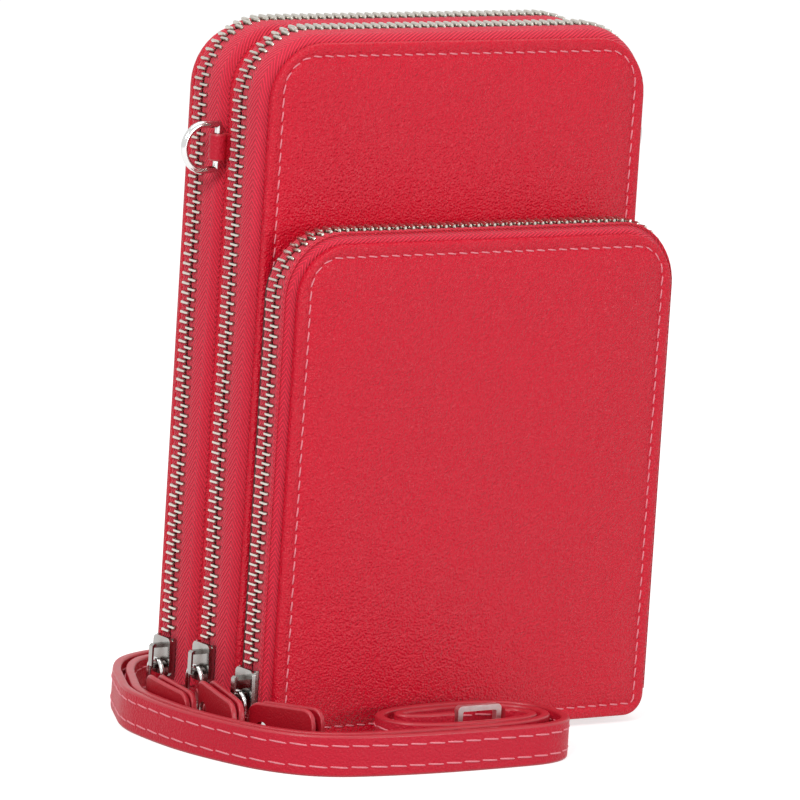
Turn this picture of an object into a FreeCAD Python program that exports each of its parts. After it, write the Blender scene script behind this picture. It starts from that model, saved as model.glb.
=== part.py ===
"""Zip-round phone pouch with two compartments, a front pocket and a detached leather strap.

Millimetres, +Z up. The front looks along -Y, and the origin is the middle of the foot.
"""
import FreeCAD, Part
import math
import os
import Sketcher
from FreeCAD import Placement, Rotation, Vector

SIZES = [
    # Main walls
    ("panel_width", 117.0),
    ("panel_height", 180.0),
    ("panel_thickness", 2.2),
    ("top_radius", 15.5),
    ("bottom_radius", 9.0),
    ("edge_round", 0.8),
    ("rear_depth", 20.0),
    ("front_depth", 17.3),
    ("divider_thickness", 2.0),
    # Front pocket
    ("backing_depth", 1.8),
    ("backing_inset", 0.8),
    ("pocket_depth", 16.0),
    ("pocket_height", 128.9),
    ("pocket_lift", 2.0),
    ("pocket_top_radius", 14.5),
    ("pocket_bottom_radius", 6.0),
    # Leather base strips
    ("base_thickness", 1.8),
    ("hinge_room", 0.5),
    # Zip tapes
    ("tape_thickness", 0.6),
    ("tape_seat", 0.6),
    ("tape_knee", 5.2),
    ("tape_room", 0.3),
    ("chain_proud", 2.2),
    # Zip teeth
    ("tooth_pitch", 2.54),
    ("tooth_half_length", 3.0),
    ("tooth_overlap", 0.35),
    ("tooth_heel_width", 1.35),
    ("tooth_tip_width", 0.85),
    ("tooth_depth", 2.5),
    ("tooth_seat", 0.05),
    ("chain_foot", 20.0),
    ("stop_length", 2.4),
    # Sliders
    ("slider_length", 10.0),
    ("slider_mouth", 8.6),
    ("slider_tail", 7.8),
    ("plate_thickness", 1.0),
    ("plate_corner", 1.4),
    ("chain_room", 0.4),
    ("tape_slot", 1.5),
    ("lip_width", 0.65),
    ("lip_inset", 3.25),
    ("wedge_mouth", 2.6),
    ("wedge_tail", 0.8),
    ("wedge_length", 4.0),
    ("crown_width", 1.6),
    ("crown_length", 6.4),
    ("crown_foot", 1.0),
    ("crown_bar", 0.55),
    ("rear_slider_level", 16.0),
    ("front_slider_level", 18.0),
    ("pocket_slider_level", 15.5),
    # Pulls
    ("link_wire", 1.3),
    ("link_width", 7.7),
    ("link_length", 11.7),
    ("link_room", 0.7),
    ("link_rise", 1.0),
    ("tab_length", 22.0),
    ("tab_height", 11.5),
    ("tab_layer", 1.5),
    ("tab_gap", 1.5),
    ("tab_corner", 3.6),
    ("tab_drop", 1.2),
    ("neck_height", 2.2),
    ("neck_layer", 0.5),
    ("neck_room", 1.2),
    ("rear_neck_reach", 11.0),
    ("rear_neck_turn", 50.0),
    ("rear_tab_turn", 2.5),
    ("rear_tab_rise", -1.4),
    ("front_neck_reach", 7.3),
    ("front_neck_turn", 28.0),
    ("front_tab_turn", 8.5),
    ("front_tab_rise", -2.3),
    ("pocket_neck_reach", 4.0),
    ("pocket_neck_turn", 0.0),
    ("pocket_tab_turn", -16.0),
    ("pocket_tab_rise", 1.6),
    ("rivet_place", 5.0),
    ("rivet_shank", 1.8),
    ("rivet_head", 4.0),
    ("rivet_dome", 0.4),
    ("rivet_room", 0.1),
    # D-rings and their loops
    ("dring_drop", 29.0),
    ("dring_wire", 1.9),
    ("dring_height", 13.7),
    ("dring_reach", 12.0),
    ("dring_room", 0.3),
    ("loop_width", 7.0),
    ("loop_leather", 1.0),
    ("loop_neck", 1.0),
    # Strap
    ("strap_width", 10.7),
    ("strap_thickness", 2.3),
    ("sleeve_wall", 1.15),
    ("sleeve_room", 0.3),
    ("sleeve_trim", 0.5),
    # Strap hardware
    ("buckle_length", 13.5),
    ("buckle_height", 12.2),
    ("buckle_bar", 1.5),
    ("buckle_depth", 1.8),
    ("eye_length", 7.0),
    ("boss_radius", 2.2),
    ("boss_length", 3.0),
    ("pin_radius", 0.9),
    ("pin_room", 0.25),
    ("pin_head_radius", 1.7),
    ("pin_head_length", 0.9),
    ("collar_radius", 2.4),
    ("collar_length", 2.0),
    ("stem_length", 4.3),
    ("hook_radius", 4.4),
    ("hook_wire", 2.4),
    ("hook_sweep", 260.0),
    ("gate_wire", 1.6),
    ("gate_room", 0.3),
    ("gate_width", 2.6),
]

# The strap lies on the floor on its edge. The long strap comes from behind the pouch, round its left side
# and along the front, and folds back twice inside its own bend.
LONG_ROUTE = [
    (20.0, 49.5), (-15.0, 50.0), (-41.0, 49.3), (-60.0, 43.8), (-70.0, 32.6), (-76.2, 20.0), (-82.5, 7.0),
    (-82.9, -8.0), (-82.2, -20.0), (-79.0, -33.0), (-73.2, -46.5), (-61.8, -57.0), (-43.0, -61.6),
    (-20.0, -63.5), (15.0, -63.0), (15.0, -33.0), (-35.0, -33.5), (-35.0, -55.0), (7.0, -55.0), (7.0, -44.0),
    (2.0, -44.0),
]
# The short strap starts at the buckle, lies between the folds of the long one and follows it to the back.
SHORT_ROUTE = [
    (-14.0, -44.0), (-28.0, -44.0), (-28.0, -37.0), (11.0, -37.0), (11.0, -59.0), (-42.5, -58.4),
    (-60.2, -54.0), (-70.5, -44.6), (-76.0, -31.8), (-79.0, -19.8), (-79.7, -8.0), (-79.2, 6.0),
    (-72.6, 18.4), (-66.2, 30.8), (-57.4, 40.3), (-46.5, 43.0), (-20.0, 41.8), (3.0, 41.0),
]
# A bend takes up this share of the shorter of its two runs.
BEND_SHARE = 0.45

doc = FreeCAD.newDocument("phone_pouch")
sheet = doc.addObject("Spreadsheet::Sheet", "Sizes")
for row, (alias, value) in enumerate(SIZES, 1):
    sheet.set(f"A{row}", alias)
    sheet.set(f"B{row}", str(value))
    sheet.setAlias(f"B{row}", alias)
doc.recompute()


def size(alias):
    return float(getattr(sheet, alias))


HALF_WIDTH = size("panel_width") / 2
BACK_FACE = sum(
    size(word) for word in ("rear_depth", "front_depth", "panel_thickness", "backing_depth", "pocket_depth")
) / 2
DIVIDER_Y = BACK_FACE - size("rear_depth")
FRONT_INNER = DIVIDER_Y - size("front_depth")
FRONT_FACE = FRONT_INNER - size("panel_thickness")
POCKET_REAR = FRONT_FACE - size("backing_depth")
POCKET_FACE = POCKET_REAR - size("pocket_depth")
DIVIDER_HALF = size("divider_thickness") / 2
PANEL = size("panel_thickness")

parts = []


def keep(obj, name):
    """List a document object as the sub-part called name."""
    obj.Label = name
    parts.append(obj)
    return obj


def feature(name, shape):
    """A sub-part whose solid is made with geometry functions."""
    obj = doc.addObject("Part::Feature", name)
    obj.Shape = shape
    return keep(obj, name)


def plane(body, role):
    return next(f for f in body.Origin.OriginFeatures if f.Role == role)


def new_sketch(body, role, name="Outline"):
    sketch = body.newObject("Sketcher::SketchObject", name)
    sketch.AttachmentSupport = (plane(body, role), "")
    sketch.MapMode = "FlatFace"
    return sketch


def bind(sketch, kind, where, value, name, expression):
    """Add a dimension to a sketch and tie it to the sheet."""
    index = sketch.addConstraint(Sketcher.Constraint(kind, *where, value))
    sketch.renameConstraint(index, name)
    sketch.setExpression(f"Constraints.{name}", expression)


def rounded_outline(sketch, tag, half, low, high, low_radius, high_radius):
    """A rounded rectangle about the upright axis. Each size is a pair of value and sheet expression."""
    w, z0, z1, r0, r1 = half[0], low[0], high[0], low_radius[0], high_radius[0]
    out = Vector(0, 0, 1)

    def line(x0, y0, x1, y1):
        return sketch.addGeometry(Part.LineSegment(Vector(x0, y0, 0), Vector(x1, y1, 0)), False)

    def arc(x, y, r, start):
        circle = Part.Circle(Vector(x, y, 0), out, r)
        turn = math.radians(start)
        return sketch.addGeometry(Part.ArcOfCircle(circle, turn, turn + math.pi / 2), False)

    bottom = line(-w + r0, z0, w - r0, z0)
    low_right = arc(w - r0, z0 + r0, r0, 270)
    right = line(w, z0 + r0, w, z1 - r1)
    high_right = arc(w - r1, z1 - r1, r1, 0)
    top = line(w - r1, z1, -w + r1, z1)
    high_left = arc(-w + r1, z1 - r1, r1, 90)
    left = line(-w, z1 - r1, -w, z0 + r0)
    low_left = arc(-w + r0, z0 + r0, r0, 180)
    loop = [bottom, low_right, right, high_right, top, high_left, left, low_left]
    for first, second in zip(loop, loop[1:] + loop[:1]):
        sketch.addConstraint(Sketcher.Constraint("Tangent", first, 2, second, 1))
    for edge in (bottom, top):
        sketch.addConstraint(Sketcher.Constraint("Horizontal", edge))
    for edge in (left, right):
        sketch.addConstraint(Sketcher.Constraint("Vertical", edge))
    for corner, radius, word in (
        (low_right, low_radius, "low_right"), (low_left, low_radius, "low_left"),
        (high_right, high_radius, "high_right"), (high_left, high_radius, "high_left"),
    ):
        bind(sketch, "Radius", (corner,), radius[0], f"{tag}_{word}", radius[1])
    bind(sketch, "DistanceX", (-1, 1, right, 1), w, f"{tag}_right", half[1])
    bind(sketch, "DistanceX", (left, 1, -1, 1), w, f"{tag}_left", half[1])
    bind(sketch, "DistanceY", (-1, 1, top, 1), z1, f"{tag}_top", high[1])
    if z0:
        bind(sketch, "DistanceY", (-1, 1, bottom, 1), z0, f"{tag}_bottom", low[1])
    else:
        sketch.addConstraint(Sketcher.Constraint("PointOnObject", bottom, 1, -1))


def wall(name, outline, thickness, back, rounded=None):
    """A flat wall of the pouch: an outline padded forward from its back face, with one face's edge rounded.

    thickness and back are sheet expressions. rounded is "front", "back" or None.
    """
    body = doc.addObject("PartDesign::Body", name)
    sketch = new_sketch(body, "XZ_Plane")
    rounded_outline(sketch, "panel", *outline)
    pad = body.newObject("PartDesign::Pad", "Board")
    pad.Profile = sketch
    pad.setExpression("Length", thickness)
    body.setExpression("Placement.Base.y", back)
    doc.recompute()
    if rounded:
        faces = pad.Shape.Faces
        pick = min if rounded == "front" else max
        face = pick(faces, key=lambda f: f.CenterOfMass.y)
        names = [
            f"Edge{i}" for i, e in enumerate(pad.Shape.Edges, 1) if any(e.isSame(x) for x in face.Edges)
        ]
        fillet = body.newObject("PartDesign::Fillet", "TurnedEdge")
        fillet.Base = (pad, names)
        fillet.setExpression("Radius", "Sizes.edge_round")
        doc.recompute()
    return keep(body, name)


MAIN_OUTLINE = (
    (HALF_WIDTH, "Sizes.panel_width / 2"),
    (0.0, "0"),
    (size("panel_height"), "Sizes.panel_height"),
    (size("bottom_radius"), "Sizes.bottom_radius"),
    (size("top_radius"), "Sizes.top_radius"),
)
POCKET_OUTLINE = (
    (HALF_WIDTH, "Sizes.panel_width / 2"),
    (size("pocket_lift"), "Sizes.pocket_lift"),
    (size("pocket_lift") + size("pocket_height"), "Sizes.pocket_lift + Sizes.pocket_height"),
    (size("pocket_bottom_radius"), "Sizes.pocket_bottom_radius"),
    (size("pocket_top_radius"), "Sizes.pocket_top_radius"),
)
INSET = size("backing_inset")
BACKING_OUTLINE = (
    (HALF_WIDTH - INSET, "Sizes.panel_width / 2 - Sizes.backing_inset"),
    (size("pocket_lift") + INSET, "Sizes.pocket_lift + Sizes.backing_inset"),
    (
        size("pocket_lift") + size("pocket_height") - INSET,
        "Sizes.pocket_lift + Sizes.pocket_height - Sizes.backing_inset",
    ),
    (size("pocket_bottom_radius") - INSET, "Sizes.pocket_bottom_radius - Sizes.backing_inset"),
    (size("pocket_top_radius") - INSET, "Sizes.pocket_top_radius - Sizes.backing_inset"),
)


def base_strip(name, corner, low, low_words, back, width):
    """A leather strip under one compartment, turned up at both bottom corners to meet the zip."""
    r = size(corner)
    t = size("base_thickness")
    body = doc.addObject("PartDesign::Body", name)
    sketch = new_sketch(body, "XZ_Plane")
    x = HALF_WIDTH - r
    out = Vector(0, 0, 1)

    def quarter(side, radius):
        centre = Vector(side * x, low + r, 0)
        start = math.pi if side < 0 else 1.5 * math.pi
        circle = Part.Circle(centre, out, radius)
        return sketch.addGeometry(Part.ArcOfCircle(circle, start, start + math.pi / 2), False)

    def line(x0, y0, x1, y1):
        return sketch.addGeometry(Part.LineSegment(Vector(x0, y0, 0), Vector(x1, y1, 0)), False)

    left = quarter(-1, r)
    foot = line(-x, low, x, low)
    right = quarter(1, r)
    right_end = line(x + r, low + r, x + r - t, low + r)
    right_in = quarter(1, r - t)
    floor = line(x, low + t, -x, low + t)
    left_in = quarter(-1, r - t)
    left_end = line(-x - r + t, low + r, -x - r, low + r)
    for first, end, second, start in (
        (left, 2, foot, 1), (foot, 2, right, 1), (floor, 1, right_in, 1), (floor, 2, left_in, 2),
    ):
        sketch.addConstraint(Sketcher.Constraint("Tangent", first, end, second, start))
    for first, end, second, start in (
        (right, 2, right_end, 1), (right_end, 2, right_in, 2),
        (left_in, 1, left_end, 1), (left_end, 2, left, 1),
    ):
        sketch.addConstraint(Sketcher.Constraint("Coincident", first, end, second, start))
    for edge in (foot, floor, right_end, left_end):
        sketch.addConstraint(Sketcher.Constraint("Horizontal", edge))
    for outer, inner in ((left, left_in), (right, right_in)):
        sketch.addConstraint(Sketcher.Constraint("Coincident", outer, 3, inner, 3))
    bind(sketch, "Radius", (left,), r, "left_corner", f"Sizes.{corner}")
    bind(sketch, "Radius", (right,), r, "right_corner", f"Sizes.{corner}")
    bind(sketch, "Radius", (left_in,), r - t, "left_floor", f"Sizes.{corner} - Sizes.base_thickness")
    bind(sketch, "DistanceX", (-1, 1, right, 3), x, "right_run", f"Sizes.panel_width / 2 - Sizes.{corner}")
    bind(sketch, "DistanceX", (left, 3, -1, 1), x, "left_run", f"Sizes.panel_width / 2 - Sizes.{corner}")
    sketch.addConstraint(Sketcher.Constraint("Horizontal", right, 2, right, 3))
    sketch.addConstraint(Sketcher.Constraint("Horizontal", left, 1, left, 3))
    if low:
        bind(sketch, "DistanceY", (-1, 1, foot, 1), low, "lift", low_words)
    else:
        sketch.addConstraint(Sketcher.Constraint("PointOnObject", foot, 1, -1))
    pad = body.newObject("PartDesign::Pad", "Strip")
    pad.Profile = sketch
    pad.setExpression("Length", width)
    body.setExpression("Placement.Base.y", back)
    doc.recompute()
    return keep(body, name)


def rim_band(profile, half, high, radius, low):
    """Carry a closed profile of (offset, y) points up the left side, over the top and down the right side."""

    def face(place):
        points = [place(d, y) for d, y in profile]
        return Part.Face(Part.makePolygon(points + points[:1]))

    side = face(lambda d, y: Vector(-half - d, y, low)).extrude(Vector(0, 0, high - radius - low))
    turn = face(lambda d, y: Vector(-half - d, y, high - radius))
    turn = turn.revolve(Vector(radius - half, 0, high - radius), Vector(0, 1, 0), 90)
    across = face(lambda d, y: Vector(radius - half, y, high + d)).extrude(Vector(2 * (half - radius), 0, 0))
    middle, sideways = Vector(0, 0, 0), Vector(1, 0, 0)
    whole = side.fuse([turn, across, turn.mirror(middle, sideways), side.mirror(middle, sideways)])
    return whole.removeSplitter()


class Zip:
    """One zip: where its chain runs, and the wall faces that its two tapes are sewn to."""

    def __init__(self, name, back, front, place, high, radius, low_radius, foot):
        self.name = name
        self.back = back
        self.front = front
        self.place = place
        self.high = high
        self.radius = radius
        self.low_radius = low_radius
        self.foot = foot
        self.level = size(f"{name}_slider_level")

    def at(self, s):
        """The chain's point at length s from its lower left end, with its direction and outward normal."""
        proud = size("chain_proud")
        run = self.high - self.radius - self.start
        bend = math.pi / 2 * (self.radius + proud)
        top = 2 * (HALF_WIDTH - self.radius)
        x, z = HALF_WIDTH - self.radius, self.high - self.radius
        reach = self.radius + proud
        if s < run:
            return Vector(-x - reach, 0, self.start + s), Vector(0, 0, 1), Vector(-1, 0, 0)
        s -= run
        if s < bend:
            a = s / reach
            normal = Vector(-math.cos(a), 0, math.sin(a))
            return Vector(-x, 0, z) + normal * reach, Vector(math.sin(a), 0, math.cos(a)), normal
        s -= bend
        if s < top:
            return Vector(-x + s, 0, z + reach), Vector(1, 0, 0), Vector(0, 0, 1)
        s -= top
        if s < bend:
            a = s / reach
            normal = Vector(math.sin(a), 0, math.cos(a))
            return Vector(x, 0, z) + normal * reach, Vector(math.cos(a), 0, -math.sin(a)), normal
        s -= bend
        return Vector(x + reach, 0, z - s), Vector(0, 0, -1), Vector(1, 0, 0)

    @property
    def start(self):
        """The lowest tooth on the left, just above the slider."""
        return self.level + size("slider_length") / 2 + size("tooth_heel_width")

    @property
    def length(self):
        left = self.high - self.radius - self.start
        right = self.high - self.radius - self.foot - size("chain_foot")
        bends = math.pi * (self.radius + size("chain_proud"))
        return left + bends + 2 * (HALF_WIDTH - self.radius) + right


REAR = Zip(
    "rear", BACK_FACE - PANEL, DIVIDER_Y + DIVIDER_HALF, (BACK_FACE + DIVIDER_Y) / 2,
    size("panel_height"), size("top_radius"), size("bottom_radius"), 0.0,
)
FRONT = Zip(
    "front", DIVIDER_Y - DIVIDER_HALF, FRONT_INNER, (DIVIDER_Y + FRONT_INNER) / 2,
    size("panel_height"), size("top_radius"), size("bottom_radius"), 0.0,
)
POCKET = Zip(
    "pocket", POCKET_REAR, POCKET_FACE + PANEL, (POCKET_REAR + POCKET_FACE) / 2,
    size("pocket_lift") + size("pocket_height"), size("pocket_top_radius"), size("pocket_bottom_radius"),
    size("pocket_lift"),
)
ZIPS = [REAR, FRONT, POCKET]


def zip_tape(line, side, seam):
    """Half of a zip's tape, from its wall's seam to the chain. side is +1 at the back, -1 in front."""
    t = size("tape_thickness")
    proud = size("chain_proud") + t / 2
    seat = -size("tape_seat")
    edge = line.place + side * (size("tooth_half_length") + size("tooth_seat"))
    knee = line.place + side * size("tape_knee")
    profile = [(proud, edge), (proud, knee), (seat, seam)]
    profile += [(seat - t, seam), (proud - t, knee), (proud - t, edge)]
    low = line.foot + line.low_radius + size("tape_room")
    return rim_band(profile, HALF_WIDTH, line.high, line.radius, low)


BOX_FACES = ((0, 1, 2, 3), (7, 6, 5, 4), (0, 4, 5, 1), (1, 5, 6, 2), (2, 6, 7, 3), (3, 7, 4, 0))


def six_sided(corners):
    faces = [Part.Face(Part.makePolygon([corners[i] for i in quad + quad[:1]])) for quad in BOX_FACES]
    solid = Part.makeSolid(Part.makeShell(faces))
    if solid.Volume < 0:
        solid.reverse()
    return solid


def zip_teeth(line, side):
    """One row of teeth: each is wide at its heel on the tape and slim where it meets the other row."""
    pitch, depth = size("tooth_pitch"), size("tooth_depth") / 2
    heel, tip = size("tooth_heel_width") / 2, size("tooth_tip_width") / 2
    outer = line.place + side * size("tooth_half_length")
    inner = line.place - side * size("tooth_overlap")
    shift = 0 if side > 0 else pitch / 2
    row = []
    for k in range(int((line.length - shift) / pitch)):
        point, along, out = line.at(shift + k * pitch)
        corners = []
        for lift in (-depth, depth):
            for y, half in ((outer, -heel), (outer, heel), (inner, tip), (inner, -tip)):
                corners.append(point + along * half + out * lift + Vector(0, y, 0))
        row.append(six_sided(corners))
    return Part.makeCompound(row)


def end_stop(line, side):
    """The metal stop under the last tooth of the row that stays with the slider."""
    low = line.foot + size("chain_foot") - size("tooth_heel_width") - size("stop_length")
    x = HALF_WIDTH + size("chain_proud")
    depth = size("tooth_depth") / 2
    width = size("tooth_half_length") - size("tooth_overlap")
    y = line.place + side * size("tooth_half_length")
    corner = Vector(x - depth, min(y, y - side * width), low)
    return Part.makeBox(2 * depth, width, size("stop_length"), corner)


CHAIN_X = -HALF_WIDTH - size("chain_proud")
CHANNEL = size("tooth_depth") / 2 + size("chain_room")
PLATE_X = CHAIN_X - CHANNEL - size("plate_thickness")
LINK_X = PLATE_X - size("link_room") - size("link_wire") / 2


def prism(points, along):
    return Part.Face(Part.makePolygon(points + points[:1])).extrude(along)


def rounded_prism(points, along, corner):
    """A prism with the edges along its height rounded."""
    solid = prism(points, along)
    upright = [edge for edge in solid.Edges if abs(edge.Length - along.Length) < 1e-6]
    return solid.makeFillet(corner, upright)


def slider(line):
    """Two plates round the chain, joined by the wedge at the mouth, with side lips and a crown."""
    y, z = line.place, line.level
    half = size("slider_length") / 2
    mouth, tail = size("slider_mouth") / 2, size("slider_tail") / 2
    plate = size("plate_thickness")
    pieces = []
    for x in (PLATE_X, CHAIN_X + CHANNEL):
        shape = [(y - mouth, z - half), (y + mouth, z - half), (y + tail, z + half), (y - tail, z + half)]
        corners = [Vector(x, a, b) for a, b in shape]
        pieces.append(rounded_prism(corners, Vector(plate, 0, 0), size("plate_corner")))
    slot = size("tape_slot") / 2
    inset, lip = size("lip_inset"), size("lip_width")
    for x in (CHAIN_X - CHANNEL, CHAIN_X + slot):
        for side in (-1, 1):
            low = y + side * inset
            corner = Vector(x, min(low, low + side * lip), z - half)
            pieces.append(Part.makeBox(CHANNEL - slot, lip, 2 * half, corner))
    wide, slim = size("wedge_mouth") / 2, size("wedge_tail") / 2
    high = z - half + size("wedge_length")
    wedge = [(y - wide, z - half), (y + wide, z - half), (y + slim, high), (y - slim, high)]
    pieces.append(prism([Vector(CHAIN_X - CHANNEL, a, b) for a, b in wedge], Vector(2 * CHANNEL, 0, 0)))
    reach = size("crown_length") / 2
    foot, bar = size("crown_foot"), size("crown_bar")
    sill = PLATE_X - size("link_wire") - 2 * size("link_room")
    crown = [
        (PLATE_X, z - reach), (sill, z - reach), (sill - bar, z - reach + bar), (sill - bar, z + reach - bar),
        (sill, z + reach), (PLATE_X, z + reach), (PLATE_X, z + reach - foot), (sill, z + reach - foot),
        (sill, z - reach + foot), (PLATE_X, z - reach + foot),
    ]
    width = size("crown_width")
    pieces.append(prism([Vector(a, y - width / 2, b) for a, b in crown], Vector(0, width, 0)))
    return pieces[0].fuse(pieces[1:]).removeSplitter()


def link_top(line):
    """Where the pull's link hangs in the crown."""
    return Vector(LINK_X, line.place, line.level - size("link_rise"))


def link(line):
    """The oblong wire link between a slider's crown and its pull tab."""
    wire = size("link_wire") / 2
    bend = size("link_width") / 2 - wire
    run = size("link_length") - 2 * wire - 2 * bend
    top = link_top(line) - Vector(0, 0, bend)
    low = top - Vector(0, 0, run)
    sideways = Vector(1, 0, 0)
    pieces = []
    for side in (-1, 1):
        pieces.append(Part.makeCylinder(wire, run, low + Vector(0, side * bend, 0), Vector(0, 0, 1)))
    for centre, turn in ((top, 180), (low, -180)):
        section = Part.Face(Part.Wire(Part.makeCircle(wire, centre + Vector(0, bend, 0), Vector(0, 0, 1))))
        pieces.append(section.revolve(centre, sideways, turn))
    return pieces[0].fuse(pieces[1:]).removeSplitter()


def heading(turn):
    """The plan direction that is turned outward from straight ahead, and the direction square to it."""
    angle = math.radians(turn)
    return Vector(-math.sin(angle), -math.cos(angle), 0), Vector(-math.cos(angle), math.sin(angle), 0)


class Pull:
    """Where a folded pull tab lies: its fold round the link, its neck's bend and its slope."""

    def __init__(self, line):
        leg = (size("link_width") - size("link_wire")) / 2
        self.neck_along, self.neck_out = heading(size(f"{line.name}_neck_turn"))
        self.along, self.out = heading(size(f"{line.name}_tab_turn"))
        self.neck_low = line.level - size("slider_length") / 2 - size("neck_room") - size("neck_height")
        self.fold = Vector(LINK_X, line.place - leg, self.neck_low)
        self.bend = self.fold + self.neck_along * size(f"{line.name}_neck_reach")
        self.mitre = (self.neck_out + self.out) * (1 / (1 + self.neck_out.dot(self.out)))
        self.middle = size("neck_height") / 2 - size("tab_drop")
        self.slope = size(f"{line.name}_tab_rise") / size("tab_length")
        self.half = size("tab_gap") / 2 + size("tab_layer")

    def point(self, s, away, z):
        """A place on the tab: s from the bend, away from its middle layer and z over its middle line."""
        return self.bend + self.along * s + self.out * away + Vector(0, 0, self.middle + z + self.slope * s)


def pull_tab(pull):
    """A strip folded round the link: two layers with rounded ends, and a thin narrow neck up to the fold."""
    layer, thin, gap = size("tab_layer"), size("neck_layer"), size("tab_gap") / 2
    corner, end, half = size("tab_corner"), size("tab_length"), size("tab_height") / 2
    up = Vector(0, 0, size("neck_height"))
    root = pull.bend + pull.along * corner
    pieces = []
    for low, near, far in ((gap, gap, gap + thin), (-gap - layer, -gap - thin, -gap)):
        outline = [(0, -half), (end, -half), (end, half), (0, half)]
        board = rounded_prism([pull.point(s, low, z) for s, z in outline], pull.out * layer, corner)
        radius = size("rivet_shank") / 2 + size("rivet_room")
        hole = Part.makeCylinder(radius, layer, pull.point(size("rivet_place"), low, 0), pull.out)
        neck = [
            pull.fold + pull.neck_out * near, pull.bend + pull.mitre * near, root + pull.out * near,
            root + pull.out * far, pull.bend + pull.mitre * far, pull.fold + pull.neck_out * far,
        ]
        pieces.append(board.fuse(prism(neck, up)).cut(hole))
    ring = Part.makeCylinder(gap + thin, up.Length, pull.fold)
    ring = ring.cut(Part.makeCylinder(gap, up.Length, pull.fold))
    reach = 2 * pull.half
    ahead = [(0, -reach), (reach, -reach), (reach, reach), (0, reach)]
    front = prism([pull.fold + pull.neck_along * s + pull.neck_out * a for s, a in ahead], up)
    return ring.cut(front).fuse(pieces).removeSplitter()


def rivet(name, pull):
    """A domed rivet through both layers of a pull tab."""
    body = doc.addObject("PartDesign::Body", name)
    sketch = new_sketch(body, "XZ_Plane", "HalfSection")
    shank, head, dome = size("rivet_shank") / 2, size("rivet_head") / 2, size("rivet_dome")
    half = pull.half
    bulge = (head * head + dome * dome) / (2 * dome)
    span = math.asin(head / bulge)

    def line(x0, y0, x1, y1):
        return sketch.addGeometry(Part.LineSegment(Vector(x0, y0, 0), Vector(x1, y1, 0)), False)

    axis = line(0, -half - dome, 0, half + dome)
    centre = half + dome - bulge
    circle = Part.Circle(Vector(0, centre, 0), Vector(0, 0, 1), bulge)
    top = sketch.addGeometry(Part.ArcOfCircle(circle, math.pi / 2 - span, math.pi / 2), False)
    under_top = line(head, half, shank, half)
    side = line(shank, half, shank, -half)
    under_low = line(shank, -half, head, -half)
    circle = Part.Circle(Vector(0, -centre, 0), Vector(0, 0, 1), bulge)
    low = sketch.addGeometry(Part.ArcOfCircle(circle, -math.pi / 2, span - math.pi / 2), False)
    for first, end, second, start in (
        (axis, 2, top, 2), (top, 1, under_top, 1), (under_top, 2, side, 1), (side, 2, under_low, 1),
        (under_low, 2, low, 2), (low, 1, axis, 1),
    ):
        sketch.addConstraint(Sketcher.Constraint("Coincident", first, end, second, start))
    for edge in (under_top, under_low):
        sketch.addConstraint(Sketcher.Constraint("Horizontal", edge))
    sketch.addConstraint(Sketcher.Constraint("Vertical", side))
    for arc, end in ((top, 2), (low, 1)):
        sketch.addConstraint(Sketcher.Constraint("PointOnObject", arc, end, -2))
        sketch.addConstraint(Sketcher.Constraint("PointOnObject", arc, 3, -2))
    grip = "Sizes.tab_gap / 2 + Sizes.tab_layer"
    bind(sketch, "DistanceX", (-1, 1, side, 1), shank, "shank", "Sizes.rivet_shank / 2")
    bind(sketch, "DistanceX", (-1, 1, under_top, 1), head, "head", "Sizes.rivet_head / 2")
    bind(sketch, "DistanceX", (-1, 1, under_low, 2), head, "low_head", "Sizes.rivet_head / 2")
    bind(sketch, "DistanceY", (-1, 1, side, 1), half, "grip", grip)
    bind(sketch, "DistanceY", (side, 2, -1, 1), half, "low_grip", grip)
    bind(sketch, "DistanceY", (-1, 1, axis, 2), half + dome, "crown", grip + " + Sizes.rivet_dome")
    bind(sketch, "DistanceY", (axis, 1, -1, 1), half + dome, "low_crown", grip + " + Sizes.rivet_dome")
    turned = body.newObject("PartDesign::Revolution", "Turned")
    turned.Profile = sketch
    turned.ReferenceAxis = (sketch, ["V_Axis"])
    turned.Angle = 360
    place = pull.point(size("rivet_place"), 0, 0)
    body.Placement = Placement(place, Rotation(Vector(0, 0, 1), pull.out))
    doc.recompute()
    return keep(body, name)


RING_LEVEL = size("panel_height") - size("dring_drop")
RING_X = HALF_WIDTH + size("loop_neck") + size("dring_wire") / 2 + size("dring_room") + size("loop_leather")


def d_ring(side):
    """A D-shaped wire ring: an upright bar in its leather loop, and a bow that stands out sideways."""
    wire = size("dring_wire") / 2
    bow = size("dring_height") / 2 - wire
    arm = size("dring_reach") - 2 * wire - bow
    level = RING_LEVEL
    bar = Part.makeCylinder(wire, 2 * bow, Vector(side * RING_X, DIVIDER_Y, level - bow))
    pieces = []
    for z in (level - bow, level + bow):
        pieces.append(Part.makeCylinder(wire, arm, Vector(side * RING_X, DIVIDER_Y, z), Vector(side, 0, 0)))
        pieces.append(Part.makeSphere(wire, Vector(side * RING_X, DIVIDER_Y, z)))
    centre = Vector(side * (RING_X + arm), DIVIDER_Y, level)
    section = Part.Face(Part.Wire(Part.makeCircle(wire, centre - Vector(0, 0, bow), Vector(1, 0, 0))))
    pieces.append(section.revolve(centre, Vector(0, -side, 0), 180))
    return bar.fuse(pieces).removeSplitter()


def ring_loop(side):
    """The leather loop round a D-ring's bar, with its neck sewn against the divider's edge."""
    low = RING_LEVEL - size("loop_width") / 2
    bore = size("dring_wire") / 2 + size("dring_room")
    outer = bore + size("loop_leather")
    centre = Vector(side * RING_X, DIVIDER_Y, low)
    tube = Part.makeCylinder(outer, size("loop_width"), centre)
    near = min(side * HALF_WIDTH, side * RING_X)
    corner = Vector(near, DIVIDER_Y - DIVIDER_HALF, low)
    neck = Part.makeBox(RING_X - HALF_WIDTH, size("divider_thickness"), size("loop_width"), corner)
    return tube.fuse(neck).cut(Part.makeCylinder(bore, size("loop_width"), centre)).removeSplitter()


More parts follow.
